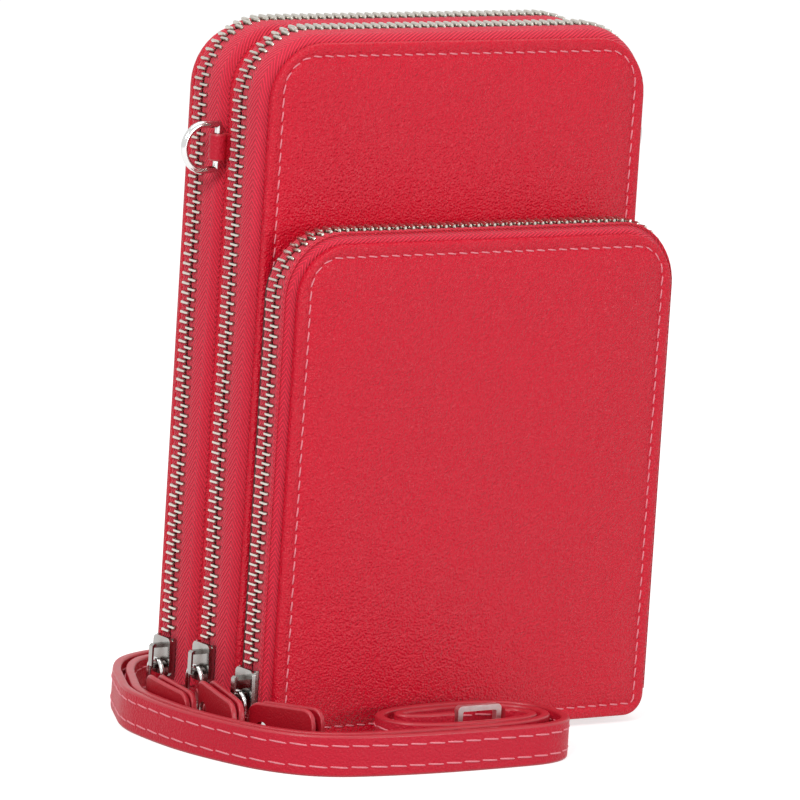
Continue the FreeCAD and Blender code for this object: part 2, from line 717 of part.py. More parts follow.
def bends_of(route):
    """A route's straight runs (start, end) and tangent bends (start, middle, end, centre)."""
    points = [Vector(x, y, 0) for x, y in route]
    pieces, radii = [], []
    last = points[0]
    for before, here, after in zip(points, points[1:], points[2:]):
        into, away = here - before, after - here
        taken = BEND_SHARE * min(into.Length, away.Length)
        into.normalize()
        away.normalize()
        turn = into.getAngle(away)
        start, end = here - into * taken, here + away * taken
        radius = taken / math.tan(turn / 2)
        inward = away - into
        inward.normalize()
        centre = here + inward * (radius / math.cos(turn / 2))
        pieces.append((last, start))
        pieces.append((start, centre - inward * radius, end, centre))
        radii.append(radius)
        last = end
    pieces.append((last, points[-1]))
    return pieces, radii


def ribbon(route, low, width, thickness):
    """A flat strap that stands on its edge along a route."""
    pieces, radii = bends_of(route)
    length = 0.0
    sides = []
    for shift in (thickness / 2, -thickness / 2):
        edges = []
        for piece in pieces:
            along = piece[1] - piece[0]
            if len(piece) == 2:
                along.normalize()
                left = Vector(-along.y, along.x, 0) * shift
                edges.append(Part.makeLine(piece[0] + left, piece[1] + left))
            else:
                start, middle, end, centre = piece
                bend = (start - centre).cross(end - centre).z
                grow = -shift if bend > 0 else shift
                arms = [p - centre for p in (start, middle, end)]
                moved = [centre + arm * (1 + grow / arm.Length) for arm in arms]
                edges.append(Part.Arc(*moved).toShape())
        sides.append(edges)
        length += sum(e.Length for e in edges) / 2
    caps = [
        Part.makeLine(sides[0][i].Vertexes[i].Point, sides[1][i].Vertexes[i].Point) for i in (0, -1)
    ]
    outline = Part.Wire(Part.__sortEdges__(sides[0] + sides[1] + caps))
    solid = Part.Face(outline).extrude(Vector(0, 0, width))
    solid.translate(Vector(0, 0, low))
    if abs(solid.Volume - length * width * thickness) > 0.001 * solid.Volume:
        raise ValueError("the strap's volume isn't its section times its length")
    return solid, length, radii


def sleeve(bar):
    """The strap's end sewn round an upright bar."""
    room = math.hypot(size("buckle_bar"), size("buckle_depth")) / 2 + size("sleeve_room")
    low = size("buckle_bar") + size("sleeve_trim")
    high = size("buckle_height") - size("buckle_bar") - size("sleeve_trim")
    place = Vector(bar[0], bar[1], low)
    outer = Part.makeCylinder(room + size("sleeve_wall"), high - low, place)
    return outer, Part.makeCylinder(room, high - low, place), room + size("sleeve_wall") / 2


def strap(route, ends):
    """A strap along its route, with a sewn sleeve at each bar that it is fastened to."""
    line = list(route)
    sleeves = []
    for index, bar in ends:
        outer, bore, reach = sleeve(bar)
        near = line[index]
        side = 1 if near[0] > bar[0] else -1
        line[index] = (bar[0] + side * reach, bar[1])
        sleeves.append((outer, bore))
    solid, length, radii = ribbon(line, 0.0, size("strap_width"), size("strap_thickness"))
    solid = solid.fuse([outer for outer, bore in sleeves]).cut([bore for outer, bore in sleeves])
    return solid.removeSplitter(), length, radii


BUCKLE_PLACE = (-5.8, -44.0)
BUCKLE_ARM = (size("buckle_length") - size("buckle_bar")) / 2
LONG_EYE = (22.0, 49.5)
SHORT_EYE = (5.0, 41.0)


def frame_sketch(name, half, half_words, inner, inner_words):
    """A rectangular wire frame standing on the floor, padded through its depth."""
    body = doc.addObject("PartDesign::Body", name)
    sketch = new_sketch(body, "XZ_Plane")
    high, bar = size("buckle_height"), size("buckle_bar")
    outer_corner, inner_corner = 0.8 * bar, 0.3 * bar
    rounded_outline(
        sketch, "outer", (half, half_words), (0.0, "0"), (high, "Sizes.buckle_height"),
        (outer_corner, "0.8 * Sizes.buckle_bar"), (outer_corner, "0.8 * Sizes.buckle_bar"),
    )
    rounded_outline(
        sketch, "inner", (inner, inner_words), (bar, "Sizes.buckle_bar"),
        (high - bar, "Sizes.buckle_height - Sizes.buckle_bar"),
        (inner_corner, "0.3 * Sizes.buckle_bar"), (inner_corner, "0.3 * Sizes.buckle_bar"),
    )
    pad = body.newObject("PartDesign::Pad", "Frame")
    pad.Profile = sketch
    pad.Midplane = True
    pad.setExpression("Length", "Sizes.buckle_depth")
    doc.recompute()
    return body


def buckle():
    """The buckle that joins the strap's two parts."""
    half = size("buckle_length") / 2
    body = frame_sketch(
        "strap_buckle", half, "Sizes.buckle_length / 2",
        half - size("buckle_bar"), "Sizes.buckle_length / 2 - Sizes.buckle_bar",
    )
    body.Placement = Placement(Vector(BUCKLE_PLACE[0], BUCKLE_PLACE[1], 0), Rotation())
    return keep(body, "strap_buckle")


def hook_axis(eye):
    """The swivel's axis starts at the outside of the eye."""
    return Vector(eye[0] + size("eye_length") - size("buckle_bar") / 2, eye[1], size("buckle_height") / 2)


def hook_eye(name, eye):
    """The frame that the strap is sewn to, with the bored boss that the hook turns in."""
    half = size("eye_length") / 2
    centre = Vector(eye[0] - size("buckle_bar") / 2 + half, eye[1], 0)
    base = hook_axis(eye)
    ahead = Vector(1, 0, 0)
    bar = size("buckle_bar")
    outer = Part.makeBox(2 * half, size("buckle_depth"), size("buckle_height"))
    outer.translate(Vector(centre.x - half, centre.y - size("buckle_depth") / 2, 0))
    inner = Part.makeBox(2 * (half - bar), size("buckle_depth"), size("buckle_height") - 2 * bar)
    inner.translate(Vector(centre.x - half + bar, centre.y - size("buckle_depth") / 2, bar))
    boss = Part.makeCylinder(size("boss_radius"), size("boss_length") + bar, base - ahead * bar, ahead)
    bore = Part.makeCylinder(
        size("pin_radius") + size("pin_room"), size("boss_length") + bar, base - ahead * bar, ahead
    )
    return feature(name, outer.cut(inner).fuse(boss).cut(bore).removeSplitter())


def hook(name, eye):
    """A swivel hook: a headed pin, a collar, a stem and a round bow that is open at the top."""
    base = hook_axis(eye)
    ahead = Vector(1, 0, 0)
    gap = size("pin_room")
    head = base - ahead * (size("buckle_bar") + gap + size("pin_head_length"))
    collar = base + ahead * (size("boss_length") + gap)
    stem = collar + ahead * size("collar_length")
    bow = size("hook_radius")
    wire = size("hook_wire") / 2
    start = stem + ahead * size("stem_length")
    centre = start + ahead * bow
    pin_length = size("pin_head_length") + size("buckle_bar") + size("boss_length") + 2 * gap
    section = Part.Face(Part.Wire(Part.makeCircle(wire, start, Vector(0, 0, 1))))
    pieces = [
        Part.makeCylinder(size("pin_head_radius"), size("pin_head_length"), head, ahead),
        Part.makeCylinder(size("collar_radius"), size("collar_length"), collar, ahead),
        Part.makeCylinder(wire, size("stem_length"), stem, ahead),
        Part.makeSphere(wire, start),
        section.revolve(centre, Vector(0, -1, 0), size("hook_sweep")),
    ]
    pin = Part.makeCylinder(size("pin_radius"), pin_length, head, ahead)
    return feature(name, pin.fuse(pieces).removeSplitter())


def gate_pivot(eye):
    stem = size("boss_length") + size("pin_room") + size("collar_length")
    wire, gate = size("hook_wire") / 2, size("gate_wire") / 2
    along = stem + size("stem_length") - wire
    return hook_axis(eye) + Vector(along, 0, wire + size("gate_room") + gate)


def hook_gate(name, eye):
    """The sprung lever that closes a hook's bow, with its knuckle on the stem."""
    gate = size("gate_wire") / 2
    pivot = gate_pivot(eye)
    bow = size("hook_radius")
    wire = size("hook_wire") / 2
    open_from = math.radians(size("hook_sweep") - 180)
    centre = hook_axis(eye) + Vector(
        size("boss_length") + size("pin_room") + size("collar_length") + size("stem_length") + bow, 0, 0
    )
    tip = centre + Vector(bow * math.cos(open_from), 0, bow * math.sin(open_from))
    lever = tip - pivot
    reach = lever.Length - wire - gate - size("gate_room")
    lever.normalize()
    knuckle = Part.makeCylinder(
        gate, size("gate_width"), pivot - Vector(0, size("gate_width") / 2, 0), Vector(0, 1, 0)
    )
    arm = Part.makeCylinder(gate, reach, pivot, lever)
    end = Part.makeSphere(gate, pivot + lever * reach)
    return feature(name, knuckle.fuse([arm, end]).removeSplitter())


# Walls, each placed by its back face
HALF_DEPTH = (
    "(Sizes.rear_depth + Sizes.front_depth + Sizes.panel_thickness"
    " + Sizes.backing_depth + Sizes.pocket_depth) / 2"
)
DIVIDER_BACK = f"{HALF_DEPTH} - Sizes.rear_depth + Sizes.divider_thickness / 2"
DIVIDER_FRONT = f"{HALF_DEPTH} - Sizes.rear_depth - Sizes.divider_thickness / 2"
FRONT_BACK = f"{HALF_DEPTH} - Sizes.rear_depth - Sizes.front_depth"
BACKING_BACK = f"{FRONT_BACK} - Sizes.panel_thickness"
BACKING_FRONT = f"{BACKING_BACK} - Sizes.backing_depth"
wall("back_panel", MAIN_OUTLINE, "Sizes.panel_thickness", HALF_DEPTH, "back")
wall("divider_panel", MAIN_OUTLINE, "Sizes.divider_thickness", DIVIDER_BACK)
wall("front_panel", MAIN_OUTLINE, "Sizes.panel_thickness", FRONT_BACK, "front")
wall("pocket_backing", BACKING_OUTLINE, "Sizes.backing_depth", BACKING_BACK)
POCKET_FRONT = f"Sizes.panel_thickness - {HALF_DEPTH}"
wall("pocket_panel", POCKET_OUTLINE, "Sizes.panel_thickness", POCKET_FRONT, "front")

# Base strips
base_strip(
    "rear_base", "bottom_radius", 0.0, "0",
    f"{HALF_DEPTH} - Sizes.panel_thickness - Sizes.hinge_room",
    "Sizes.rear_depth - Sizes.panel_thickness - Sizes.hinge_room - Sizes.divider_thickness / 2",
)
base_strip(
    "front_base", "bottom_radius", 0.0, "0", f"{DIVIDER_FRONT} - Sizes.hinge_room",
    "Sizes.front_depth - Sizes.hinge_room - Sizes.divider_thickness / 2",
)
base_strip(
    "pocket_base", "pocket_bottom_radius", size("pocket_lift"), "Sizes.pocket_lift", BACKING_FRONT,
    "Sizes.pocket_depth - Sizes.panel_thickness - Sizes.hinge_room",
)

# Zips and their pulls
for line in ZIPS:
    feature(f"{line.name}_tape_back", zip_tape(line, 1, line.back))
    feature(f"{line.name}_tape_front", zip_tape(line, -1, line.front))
    feature(f"{line.name}_teeth_back", zip_teeth(line, 1))
    feature(f"{line.name}_teeth_front", zip_teeth(line, -1))
    feature(f"{line.name}_slider", slider(line))
    feature(f"{line.name}_pull_link", link(line))
    pull = Pull(line)
    feature(f"{line.name}_pull_tab", pull_tab(pull))
    rivet(f"{line.name}_pull_rivet", pull)
feature("rear_end_stop", end_stop(REAR, -1))
feature("front_end_stop", end_stop(FRONT, -1))
feature("pocket_end_stop", end_stop(POCKET, -1))

# D-rings
for side, word in ((-1, "left"), (1, "right")):
    feature(f"{word}_d_ring", d_ring(side))
    feature(f"{word}_ring_loop", ring_loop(side))

# Strap and its hardware
right_bar = (BUCKLE_PLACE[0] + BUCKLE_ARM, BUCKLE_PLACE[1])
left_bar = (BUCKLE_PLACE[0] - BUCKLE_ARM, BUCKLE_PLACE[1])
long_strap, long_length, long_radii = strap(LONG_ROUTE, [(0, LONG_EYE), (-1, right_bar)])
short_strap, short_length, short_radii = strap(SHORT_ROUTE, [(0, left_bar), (-1, SHORT_EYE)])
feature("long_strap", long_strap)
feature("short_strap", short_strap)
buckle()
for word, eye in (("long", LONG_EYE), ("short", SHORT_EYE)):
    hook_eye(f"{word}_hook_eye", eye)
    hook(f"{word}_hook", eye)
    hook_gate(f"{word}_hook_gate", eye)


def least_self_gap(route, thickness):
    """The least gap between stretches of a strap that lie over five thicknesses apart along it."""
    pieces, radii = bends_of(route)
    step = thickness / 2
    points, along = [], []
    far = 0.0
    for piece in pieces:
        edge = Part.makeLine(*piece) if len(piece) == 2 else Part.Arc(*piece[:3]).toShape()
        for point in edge.discretize(max(2, int(edge.Length / step) + 1)):
            if points:
                far += (point - points[-1]).Length
            points.append(point)
            along.append(far)
    least = math.inf
    for i, first in enumerate(points):
        for j in range(i + 1, len(points)):
            if along[j] - along[i] > 5 * thickness:
                least = min(least, (points[j] - first).Length - thickness)
    return least


doc.recompute()
for obj in doc.Objects:
    if any(word in obj.State for word in ("Invalid", "Error")):
        raise RuntimeError(f"{obj.Label} failed: {obj.State}")
for obj in parts:
    if obj.Shape.isNull() or not obj.Shape.isValid():
        raise RuntimeError(f"{obj.Label} has no valid shape")

os.makedirs("parts", exist_ok=True)
for obj in parts:
    obj.Shape.exportStep(f"parts/{obj.Label}.step")

thickness = size("strap_thickness")
for word, route, length, radii in (
    ("long", LONG_ROUTE, long_length, long_radii), ("short", SHORT_ROUTE, short_length, short_radii),
):
    gap = least_self_gap(route, thickness)
    print(f"{word} strap: {length:.0f} mm, least gap to itself {gap:.2f} mm")
    print("bend radii:", [round(radius, 1) for radius in radii])
print("gap between the straps:", round(long_strap.distToShape(short_strap)[0], 2))
print(len(parts), "sub-parts,", sum(len(o.Shape.Solids) for o in parts), "solids")
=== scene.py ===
"""Dresses a zip-round phone pouch in leather, twill, thread and metal."""
import math

import bmesh
import bpy
import numpy as np
from bpy.props import FloatProperty, FloatVectorProperty, PointerProperty
from mathutils import Matrix, Vector


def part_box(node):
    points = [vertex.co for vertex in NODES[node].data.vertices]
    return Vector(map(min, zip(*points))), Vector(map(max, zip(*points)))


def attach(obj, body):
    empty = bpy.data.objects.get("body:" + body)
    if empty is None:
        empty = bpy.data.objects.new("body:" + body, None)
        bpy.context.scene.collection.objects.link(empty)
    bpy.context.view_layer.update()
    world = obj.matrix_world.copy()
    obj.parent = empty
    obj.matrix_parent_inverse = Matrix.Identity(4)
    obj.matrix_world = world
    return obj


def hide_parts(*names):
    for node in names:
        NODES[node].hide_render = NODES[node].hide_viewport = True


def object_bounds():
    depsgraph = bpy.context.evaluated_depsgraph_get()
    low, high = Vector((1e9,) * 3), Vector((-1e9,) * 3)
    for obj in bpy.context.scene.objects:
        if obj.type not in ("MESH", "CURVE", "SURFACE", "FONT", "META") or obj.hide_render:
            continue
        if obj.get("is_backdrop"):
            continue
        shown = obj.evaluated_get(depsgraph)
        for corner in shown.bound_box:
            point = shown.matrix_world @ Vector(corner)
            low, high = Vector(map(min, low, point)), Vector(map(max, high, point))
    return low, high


bl_info = {
    "name": "Zip-round phone pouch",
    "version": (1, 0, 0),
    "blender": (4, 5, 0),
    "location": "View3D > Sidebar > Pouch",
    "description": "Dresses a phone pouch in leather, zip tape, thread and metal",
    "category": "Add Mesh",
}

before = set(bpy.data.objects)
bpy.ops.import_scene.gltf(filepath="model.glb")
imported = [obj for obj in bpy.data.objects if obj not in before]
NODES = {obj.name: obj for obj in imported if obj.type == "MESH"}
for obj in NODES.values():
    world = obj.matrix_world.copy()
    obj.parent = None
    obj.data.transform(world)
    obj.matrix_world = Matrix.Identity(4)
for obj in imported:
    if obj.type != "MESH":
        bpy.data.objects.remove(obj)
CAD_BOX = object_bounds()
MM = 0.001


def colour_property(name, description, default):
    return FloatVectorProperty(
        name=name, description=description, default=default, size=3, subtype="COLOR", min=0, max=1
    )


def length_property(name, description, millimetres):
    return FloatProperty(
        name=name, description=description, default=millimetres * MM,
        subtype="DISTANCE", unit="LENGTH", precision=5,
    )


def angle_property(name, description, degrees):
    return FloatProperty(
        name=name, description=description, default=math.radians(degrees), subtype="ANGLE", unit="ROTATION"
    )


class PouchColours(bpy.types.PropertyGroup):
    """Colours of the leathers, tape, thread and metals."""

    leather: colour_property("Leather", "Grained leather of the walls", (0.65, 0.006, 0.028))
    strap: colour_property("Strap leather", "Smooth leather of the strap", (0.59, 0.015, 0.038))
    pull: colour_property("Pull leather", "Smooth dark leather of the pulls", (0.40, 0.006, 0.016))
    edge: colour_property("Edge paint", "Painted cut edges of strap and pulls", (0.50, 0.026, 0.042))
    raw_edge: colour_property("Raw edge", "Dark unpainted edge behind the pocket", (0.085, 0.012, 0.012))
    tape: colour_property("Zip tape", "Twill of the zip tapes", (0.88, 0.024, 0.065))
    thread: colour_property("Thread", "Sewing thread", (0.86, 0.27, 0.32))
    lining: colour_property("Lining", "Cloth inside the compartments", (0.16, 0.012, 0.02))
    nickel: colour_property("Nickel", "Zip teeth and end stops", (0.62, 0.585, 0.525))
    steel: colour_property("Steel", "Sliders", (0.40, 0.39, 0.375))
    chrome: colour_property("Chrome", "Rings, rivets and strap fittings", (0.74, 0.74, 0.73))
    # Painted shade: the metal finishes darken their base colour towards the next colour in their corners and
    # hollows.
    corner_shade: colour_property("Corner shade", "Painted shade in the corners of the metal", (0.09, 0.05, 0.04))
    floor: colour_property("Floor", "Floor and backdrop", (0.62, 0.62, 0.62))


class PouchSizes(bpy.types.PropertyGroup):
    """Sizes of the sewn and folded details."""

    top_radius: length_property("Top corners", "Corner radius at the top of the main walls", 15.5)
    bottom_radius: length_property("Bottom corners", "Corner radius at the foot of the main walls", 9.0)
    pocket_top_radius: length_property("Pocket top corners", "Corner radius at the top of the pocket", 14.5)
    pocket_bottom_radius: length_property(
        "Pocket bottom corners", "Corner radius at the foot of the pocket", 6.0
    )
    seam_inset: length_property("Seam inset", "Distance of a wall's seam from its edge", 3.3)
    stitch_pitch: length_property("Stitch pitch", "Length of a wall stitch with its gap", 3.5)
    strap_inset: length_property("Strap seam inset", "Distance of the strap's seams from its edges", 2.6)
    strap_pitch: length_property("Strap stitch pitch", "Length of a strap stitch with its gap", 5.4)
    strap_width: length_property("Strap width", "Width of the strap", 10.7)
    strap_thickness: length_property("Strap thickness", "Thickness of the strap", 2.3)
    tape_thickness: length_property("Tape thickness", "Thickness of the zip tapes", 0.55)
    chain_proud: length_property("Chain rise", "Height of the zip chains over the wall's edge", 2.2)
    tab_layer: length_property("Pull layer", "Thickness of one layer of a pull tab", 1.5)
    tab_gap: length_property("Pull gap", "Gap between the layers of a pull tab", 1.5)
    tab_length: length_property("Pull length", "Length of a pull tab from the bend of its neck", 22.0)
    tab_height: length_property("Pull height", "Height of a pull tab", 11.5)
    tab_corner: length_property("Pull corners", "Corner radius of a pull tab", 3.6)
    neck_layer: length_property("Neck layer", "Thickness of one layer at a pull tab's fold", 0.5)
    neck_height: length_property("Neck height", "Height of a pull tab's neck", 2.2)
    neck_room: length_property("Neck room", "Gap between a slider and its pull tab's neck", 1.2)


class PouchStage(bpy.types.PropertyGroup):
    """Camera and lights."""

    lens: FloatProperty(name="Lens", description="Focal length", default=343.2, unit="CAMERA")
    roll: angle_property("Roll", "Turn of the camera about its line of sight", 3.66)
    key: FloatProperty(name="Key light", description="Power of the left lamp", default=10.4, unit="POWER")
    fill: FloatProperty(name="Fill light", description="Power of the front lamp", default=4.6, unit="POWER")
    top: FloatProperty(name="Top light", description="Power of the overhead lamp", default=9.0, unit="POWER")
    sky: FloatProperty(
        name="Sky", description="Strength of the even light from all round", default=0.42, subtype="FACTOR"
    )
    lift: FloatProperty(
        name="Floor lift", description="Brightness that the floor shows in shadow", default=0.70,
        subtype="FACTOR",
    )


class Shade:
    """A socket of a node tree. Arithmetic on it adds Math nodes to the tree."""

    def __init__(self, tree, socket=None):
        self.tree = tree
        self.socket = socket

    def node(self, kind, settings=(), inputs=(), out=0):
        """Add a node of a type, set its settings, then fill its sockets with values or links."""
        made = self.tree.nodes.new(kind)
        for key, value in dict(settings).items():
            setattr(made, key, value)
        for key, value in dict(inputs).items():
            if isinstance(value, Shade):
                self.tree.links.new(value.socket, made.inputs[key])
            else:
                made.inputs[key].default_value = value
        return Shade(self.tree, made.outputs[out] if made.outputs else None)

    def maths(self, operation, *others):
        return self.node("ShaderNodeMath", {"operation": operation}, enumerate((self, *others)))

    def __add__(self, other):
        return self.maths("ADD", other)

    __radd__ = __add__

    def __sub__(self, other):
        return self.maths("SUBTRACT", other)

    def __rsub__(self, other):
        return self * -1.0 + other

    def __mul__(self, other):
        return self.maths("MULTIPLY", other)

    __rmul__ = __mul__

    def mix(self, first, second):
        """Blend two colours, this value being the share of the second."""
        share, first_colour, second_colour, mixed_colour = 0, 6, 7, 2
        sockets = {share: self, first_colour: first, second_colour: second}
        return self.node("ShaderNodeMix", {"data_type": "RGBA"}, sockets, out=mixed_colour)

    def bump(self, distance, strength):
        """Use this value as a surface height and give the normal."""
        return self.node("ShaderNodeBump", {}, {"Height": self, "Distance": distance, "Strength": strength})


def colours():
    """The colours as the sidebar holds them."""
    return bpy.context.scene.pouch_colours


def rgba(colour, factor=1.0):
    return tuple(min(1.0, c * factor) for c in colour) + (1.0,)


def empty_tree(owner):
    """The emptied node tree of a material or of the world."""
    owner.use_nodes = True
    owner.node_tree.nodes.clear()
    return Shade(owner.node_tree)


def finish(name, fill):
    """A named material. fill gets the tree and returns the values of the surface shader's sockets."""
    known = bpy.data.materials.get(name)
    if known:
        return known
    made = bpy.data.materials.new(name)
    at = empty_tree(made)
    surface = at.node("ShaderNodeBsdfPrincipled", {}, fill(at))
    at.node("ShaderNodeOutputMaterial", {}, {"Surface": surface})
    return made


def object_place(at):
    """Where a point lies in its object, in metres."""
    return at.node("ShaderNodeTexCoord", out="Object")


def noise(at, place, scale, detail):
    return at.node("ShaderNodeTexNoise", {}, {"Vector": place, "Scale": scale, "Detail": detail})


def leather(name, colour, grain=1900.0, depth=0.5 * MM, rough=0.28, gloss=0.27):
    """Satin leather with fine pebbles, shallow wrinkles and a slightly cloudy colour."""

    def fill(at):
        place = object_place(at)
        sockets = {"Vector": place, "Scale": grain}
        pebble = 1.0 - at.node("ShaderNodeTexVoronoi", {"feature": "SMOOTH_F1"}, sockets)
        wrinkle = noise(at, place, grain * 0.7, 3.0)
        cloud = noise(at, place, 34.0, 3.0)
        height = pebble * 0.9 + wrinkle * 0.5
        tone = cloud * 0.45 + wrinkle * 0.25 + pebble * 0.4
        return {
            "Base Color": tone.mix(rgba(colour, 0.88), rgba(colour, 1.10)),
            "Roughness": rough + 0.06 + cloud * 0.12 - pebble * 0.16,
            "Normal": height.bump(depth, 0.9),
            "Specular IOR Level": gloss,
        }

    return finish(name, fill)


def wall_leather():
    return leather("wall_leather", colours().leather)


def strap_leather():
    colour = colours().strap
    return leather("strap_hide", colour, depth=0.3 * MM, rough=0.42, gloss=0.2)


def pull_leather():
    colour = colours().pull
    return leather("pull_leather", colour, grain=2300.0, depth=0.1 * MM, rough=0.40, gloss=0.2)


def speckled(name, colour, scale, tones, rough, spread, strength):
    """A finish whose colour, roughness and surface all follow one fine noise."""

    def fill(at):
        speck = noise(at, object_place(at), scale, 3.0)
        return {
            "Base Color": speck.mix(*(rgba(colour, tone) for tone in tones)),
            "Roughness": rough + speck * spread,
            "Normal": speck.bump(0.2 * MM, strength),
        }

    return finish(name, fill)


def edge_paint():
    """Lighter paint on a cut leather edge, smooth with small ripples."""
    colour = colours().edge
    return speckled("edge_paint", colour, 420.0, (0.86, 1.12), rough=0.30, spread=0.16, strength=0.4)


def sewing_thread():
    """Twisted thread with a soft shine."""
    colour = colours().thread
    return speckled("sewing_thread", colour, 2400.0, (0.72, 1.15), rough=0.5, spread=0.2, strength=0.5)


def raw_edge():
    """Dark fibrous edge of unpainted board."""

    def fill(at):
        colour = colours().raw_edge
        place = object_place(at)
        fibre = noise(at, place, 1400.0, 5.0)
        stain = noise(at, place, 90.0, 2.0)
        return {
            "Base Color": (fibre * 0.5 + stain * 0.5).mix(rgba(colour, 0.6), rgba(colour, 1.7)),
            "Roughness": 0.72 + fibre * 0.2,
            "Normal": fibre.bump(0.3 * MM, 0.6),
        }

    return finish("raw_board_edge", fill)


def zip_twill():
    """Herringbone twill: slanted ribs that turn back at even steps across the tape."""

    def fill(at):
        colour = colours().tape
        turn_back, steepness, rib_pitch, waver = 3.2 * MM, 1.7, 1.45 * MM, 0.6 * MM
        flat = at.node("ShaderNodeUVMap", {"uv_map": "Cloth"})
        along = at.node("ShaderNodeSeparateXYZ", {}, {"Vector": flat}, out="X")
        across = at.node("ShaderNodeSeparateXYZ", {}, {"Vector": flat}, out="Y")
        place = object_place(at)
        yarn = noise(at, place, 2600.0, 3.0)
        drift = noise(at, place, 500.0, 2.0) * waver
        slant = along + across.maths("PINGPONG", turn_back) * steepness + drift
        rib = (slant * (2 * math.pi / rib_pitch)).maths("SINE") * 0.5 + 0.5
        height = rib * 0.8 + yarn * 0.45
        tone = rib * 0.75 + yarn * 0.3
        return {
            "Base Color": tone.mix(rgba(colour, 0.56), rgba(colour, 1.12)),
            "Roughness": 0.74 + yarn * 0.16,
            "Normal": height.bump(0.4 * MM, 0.8),
            "Sheen Weight": 0.12,
            "Sheen Roughness": 0.5,
        }

    return finish("zip_twill", fill)


def lining_cloth():
    """Plain woven lining."""

    def fill(at):
        colour = colours().lining
        place = object_place(at)
        thread_pitch = 0.7 * MM
        parts = [at.node("ShaderNodeSeparateXYZ", {}, {"Vector": place}, out=axis) for axis in ("X", "Z")]
        warp, weft = ((p * (2 * math.pi / thread_pitch)).maths("SINE") for p in parts)
        weave = warp * weft * 0.5 + 0.5
        yarn = noise(at, place, 1800.0, 3.0)
        return {
            "Base Color": (weave * 0.6 + yarn * 0.4).mix(rgba(colour, 0.6), rgba(colour, 1.4)),
            "Roughness": 0.8 + yarn * 0.12,
            "Normal": (weave * 0.7 + yarn * 0.4).bump(0.18 * MM, 0.6),
        }

    return finish("lining_cloth", fill)


def plated(name, colour, rough, wear, corner_shade):
    """Plated metal with faint rubbing and dull spots, and painted shade that darkens it in its corners and
    hollows. The last argument is how far the painted shade reaches out of the corners.
    """

    def fill(at):
        place = object_place(at)
        rub = noise(at, place, 700.0, 4.0)
        spot = noise(at, place, 160.0, 3.0)
        # Ambient occlusion darkens the base colour in corners and hollows: painted shade.
        free = at.node("ShaderNodeAmbientOcclusion", {"samples": 8}, {"Distance": corner_shade}, out="AO")
        unshaded = (rub * 0.5 + spot * 0.5).mix(rgba(colour, 0.84), rgba(colour, 1.08))
        return {
            "Base Color": free.mix(rgba(colours().corner_shade), unshaded),
            "Roughness": rough + rub * wear + spot * wear,
            "Normal": rub.bump(0.05 * MM, 0.3),
            "Metallic": 1.0,
        }

    return finish(name, fill)


# The last length given to each finish below is how far its painted corner shade reaches.
def zip_nickel():
    colour = colours().nickel
    return plated("zip_nickel", colour, rough=0.16, wear=0.10, corner_shade=1.1 * MM)


def slider_steel():
    colour = colours().steel
    return plated("slider_steel", colour, rough=0.10, wear=0.08, corner_shade=3.5 * MM)


def buckle_nickel():
    colour = colours().chrome
    return plated("buckle_nickel", colour, rough=0.30, wear=0.08, corner_shade=0.3 * MM)


def ring_chrome():
    colour = colours().chrome
    return plated("ring_chrome", colour, rough=0.06, wear=0.06, corner_shade=0.6 * MM)


def piece(name, body, verts, faces, materials, marks=None, cloth=None, stands_for=(), sharp=40.0):
    """A smooth mesh object that rides on a body.

    marks gives each face's material, and cloth each vertex's place on the flat cloth. Edges that turn by
    more than sharp, in degrees, stay hard.
    """
    mesh = bpy.data.meshes.new(name)
    mesh.from_pydata([tuple(v) for v in verts], [], faces)
    for material in materials:
        mesh.materials.append(material)
    if marks is not None:
        mesh.polygons.foreach_set("material_index", marks)
    if cloth is not None:
        flat = mesh.uv_layers.new(name="Cloth")
        corner = np.empty(len(mesh.loops), int)
        mesh.loops.foreach_get("vertex_index", corner)
        flat.data.foreach_set("uv", np.asarray(cloth, float)[corner].ravel())
    work = bmesh.new()
    work.from_mesh(mesh)
    bmesh.ops.recalc_face_normals(work, faces=work.faces)
    work.to_mesh(mesh)
    work.free()
    mesh.shade_smooth()
    mesh.set_sharp_from_angle(angle=math.radians(sharp))
    made = bpy.data.objects.new(name, mesh)
    bpy.context.scene.collection.objects.link(made)
    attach(made, body)
    if stands_for:
        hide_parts(*stands_for)
    return made


def loft(rings):
    """Quads between rings of equally many points, then the faces that close the first and the last ring."""
    count = len(rings[0])
    faces = []
    for i in range(len(rings) - 1):
        low, high = i * count, (i + 1) * count
        for j in range(count):
            k = (j + 1) % count
            faces.append((low + j, low + k, high + k, high + j))
    last = (len(rings) - 1) * count
    faces.append(tuple(range(count - 1, -1, -1)))
    faces.append(tuple(range(last, last + count)))
    return np.concatenate([np.asarray(r, float) for r in rings]), faces


def joined(parts):
    """The vertices and faces of several meshes as one mesh."""
    verts, faces, base = [], [], 0
    for points, sides in parts:
        verts.append(points)
        faces += [tuple(i + base for i in side) for side in sides]
        base += len(points)
    return np.concatenate(verts), faces


def upright(flat, y):
    """Points of the XZ plane, moved to a depth."""
    return np.stack([flat[:, 0], np.full(len(flat), y), flat[:, 1]], 1)


def distances(line):
    """How far along a line each of its points is."""
    return np.concatenate([[0.0], np.cumsum(np.linalg.norm(np.diff(line, axis=0), axis=1))])


def directions(line):
    """The unit direction of a line at each of its points."""
    slope = np.gradient(line, axis=0)
    return slope / np.linalg.norm(slope, axis=1)[:, None]


def sideways(line):
    """The unit direction to the left of a flat line at each of its points."""
    run = directions(line)
    return np.stack([-run[:, 1], run[:, 0]], 1)


# How much faster than the inset a wall's corners tighten towards its middle, and their least radius.
CORNER_PULL = 1.9
LEAST_RADIUS = 1.0 * MM
# Points along each side of a wall's outline: right, top, left and foot.
LOOP_STEPS = (30, 20, 30, 20)


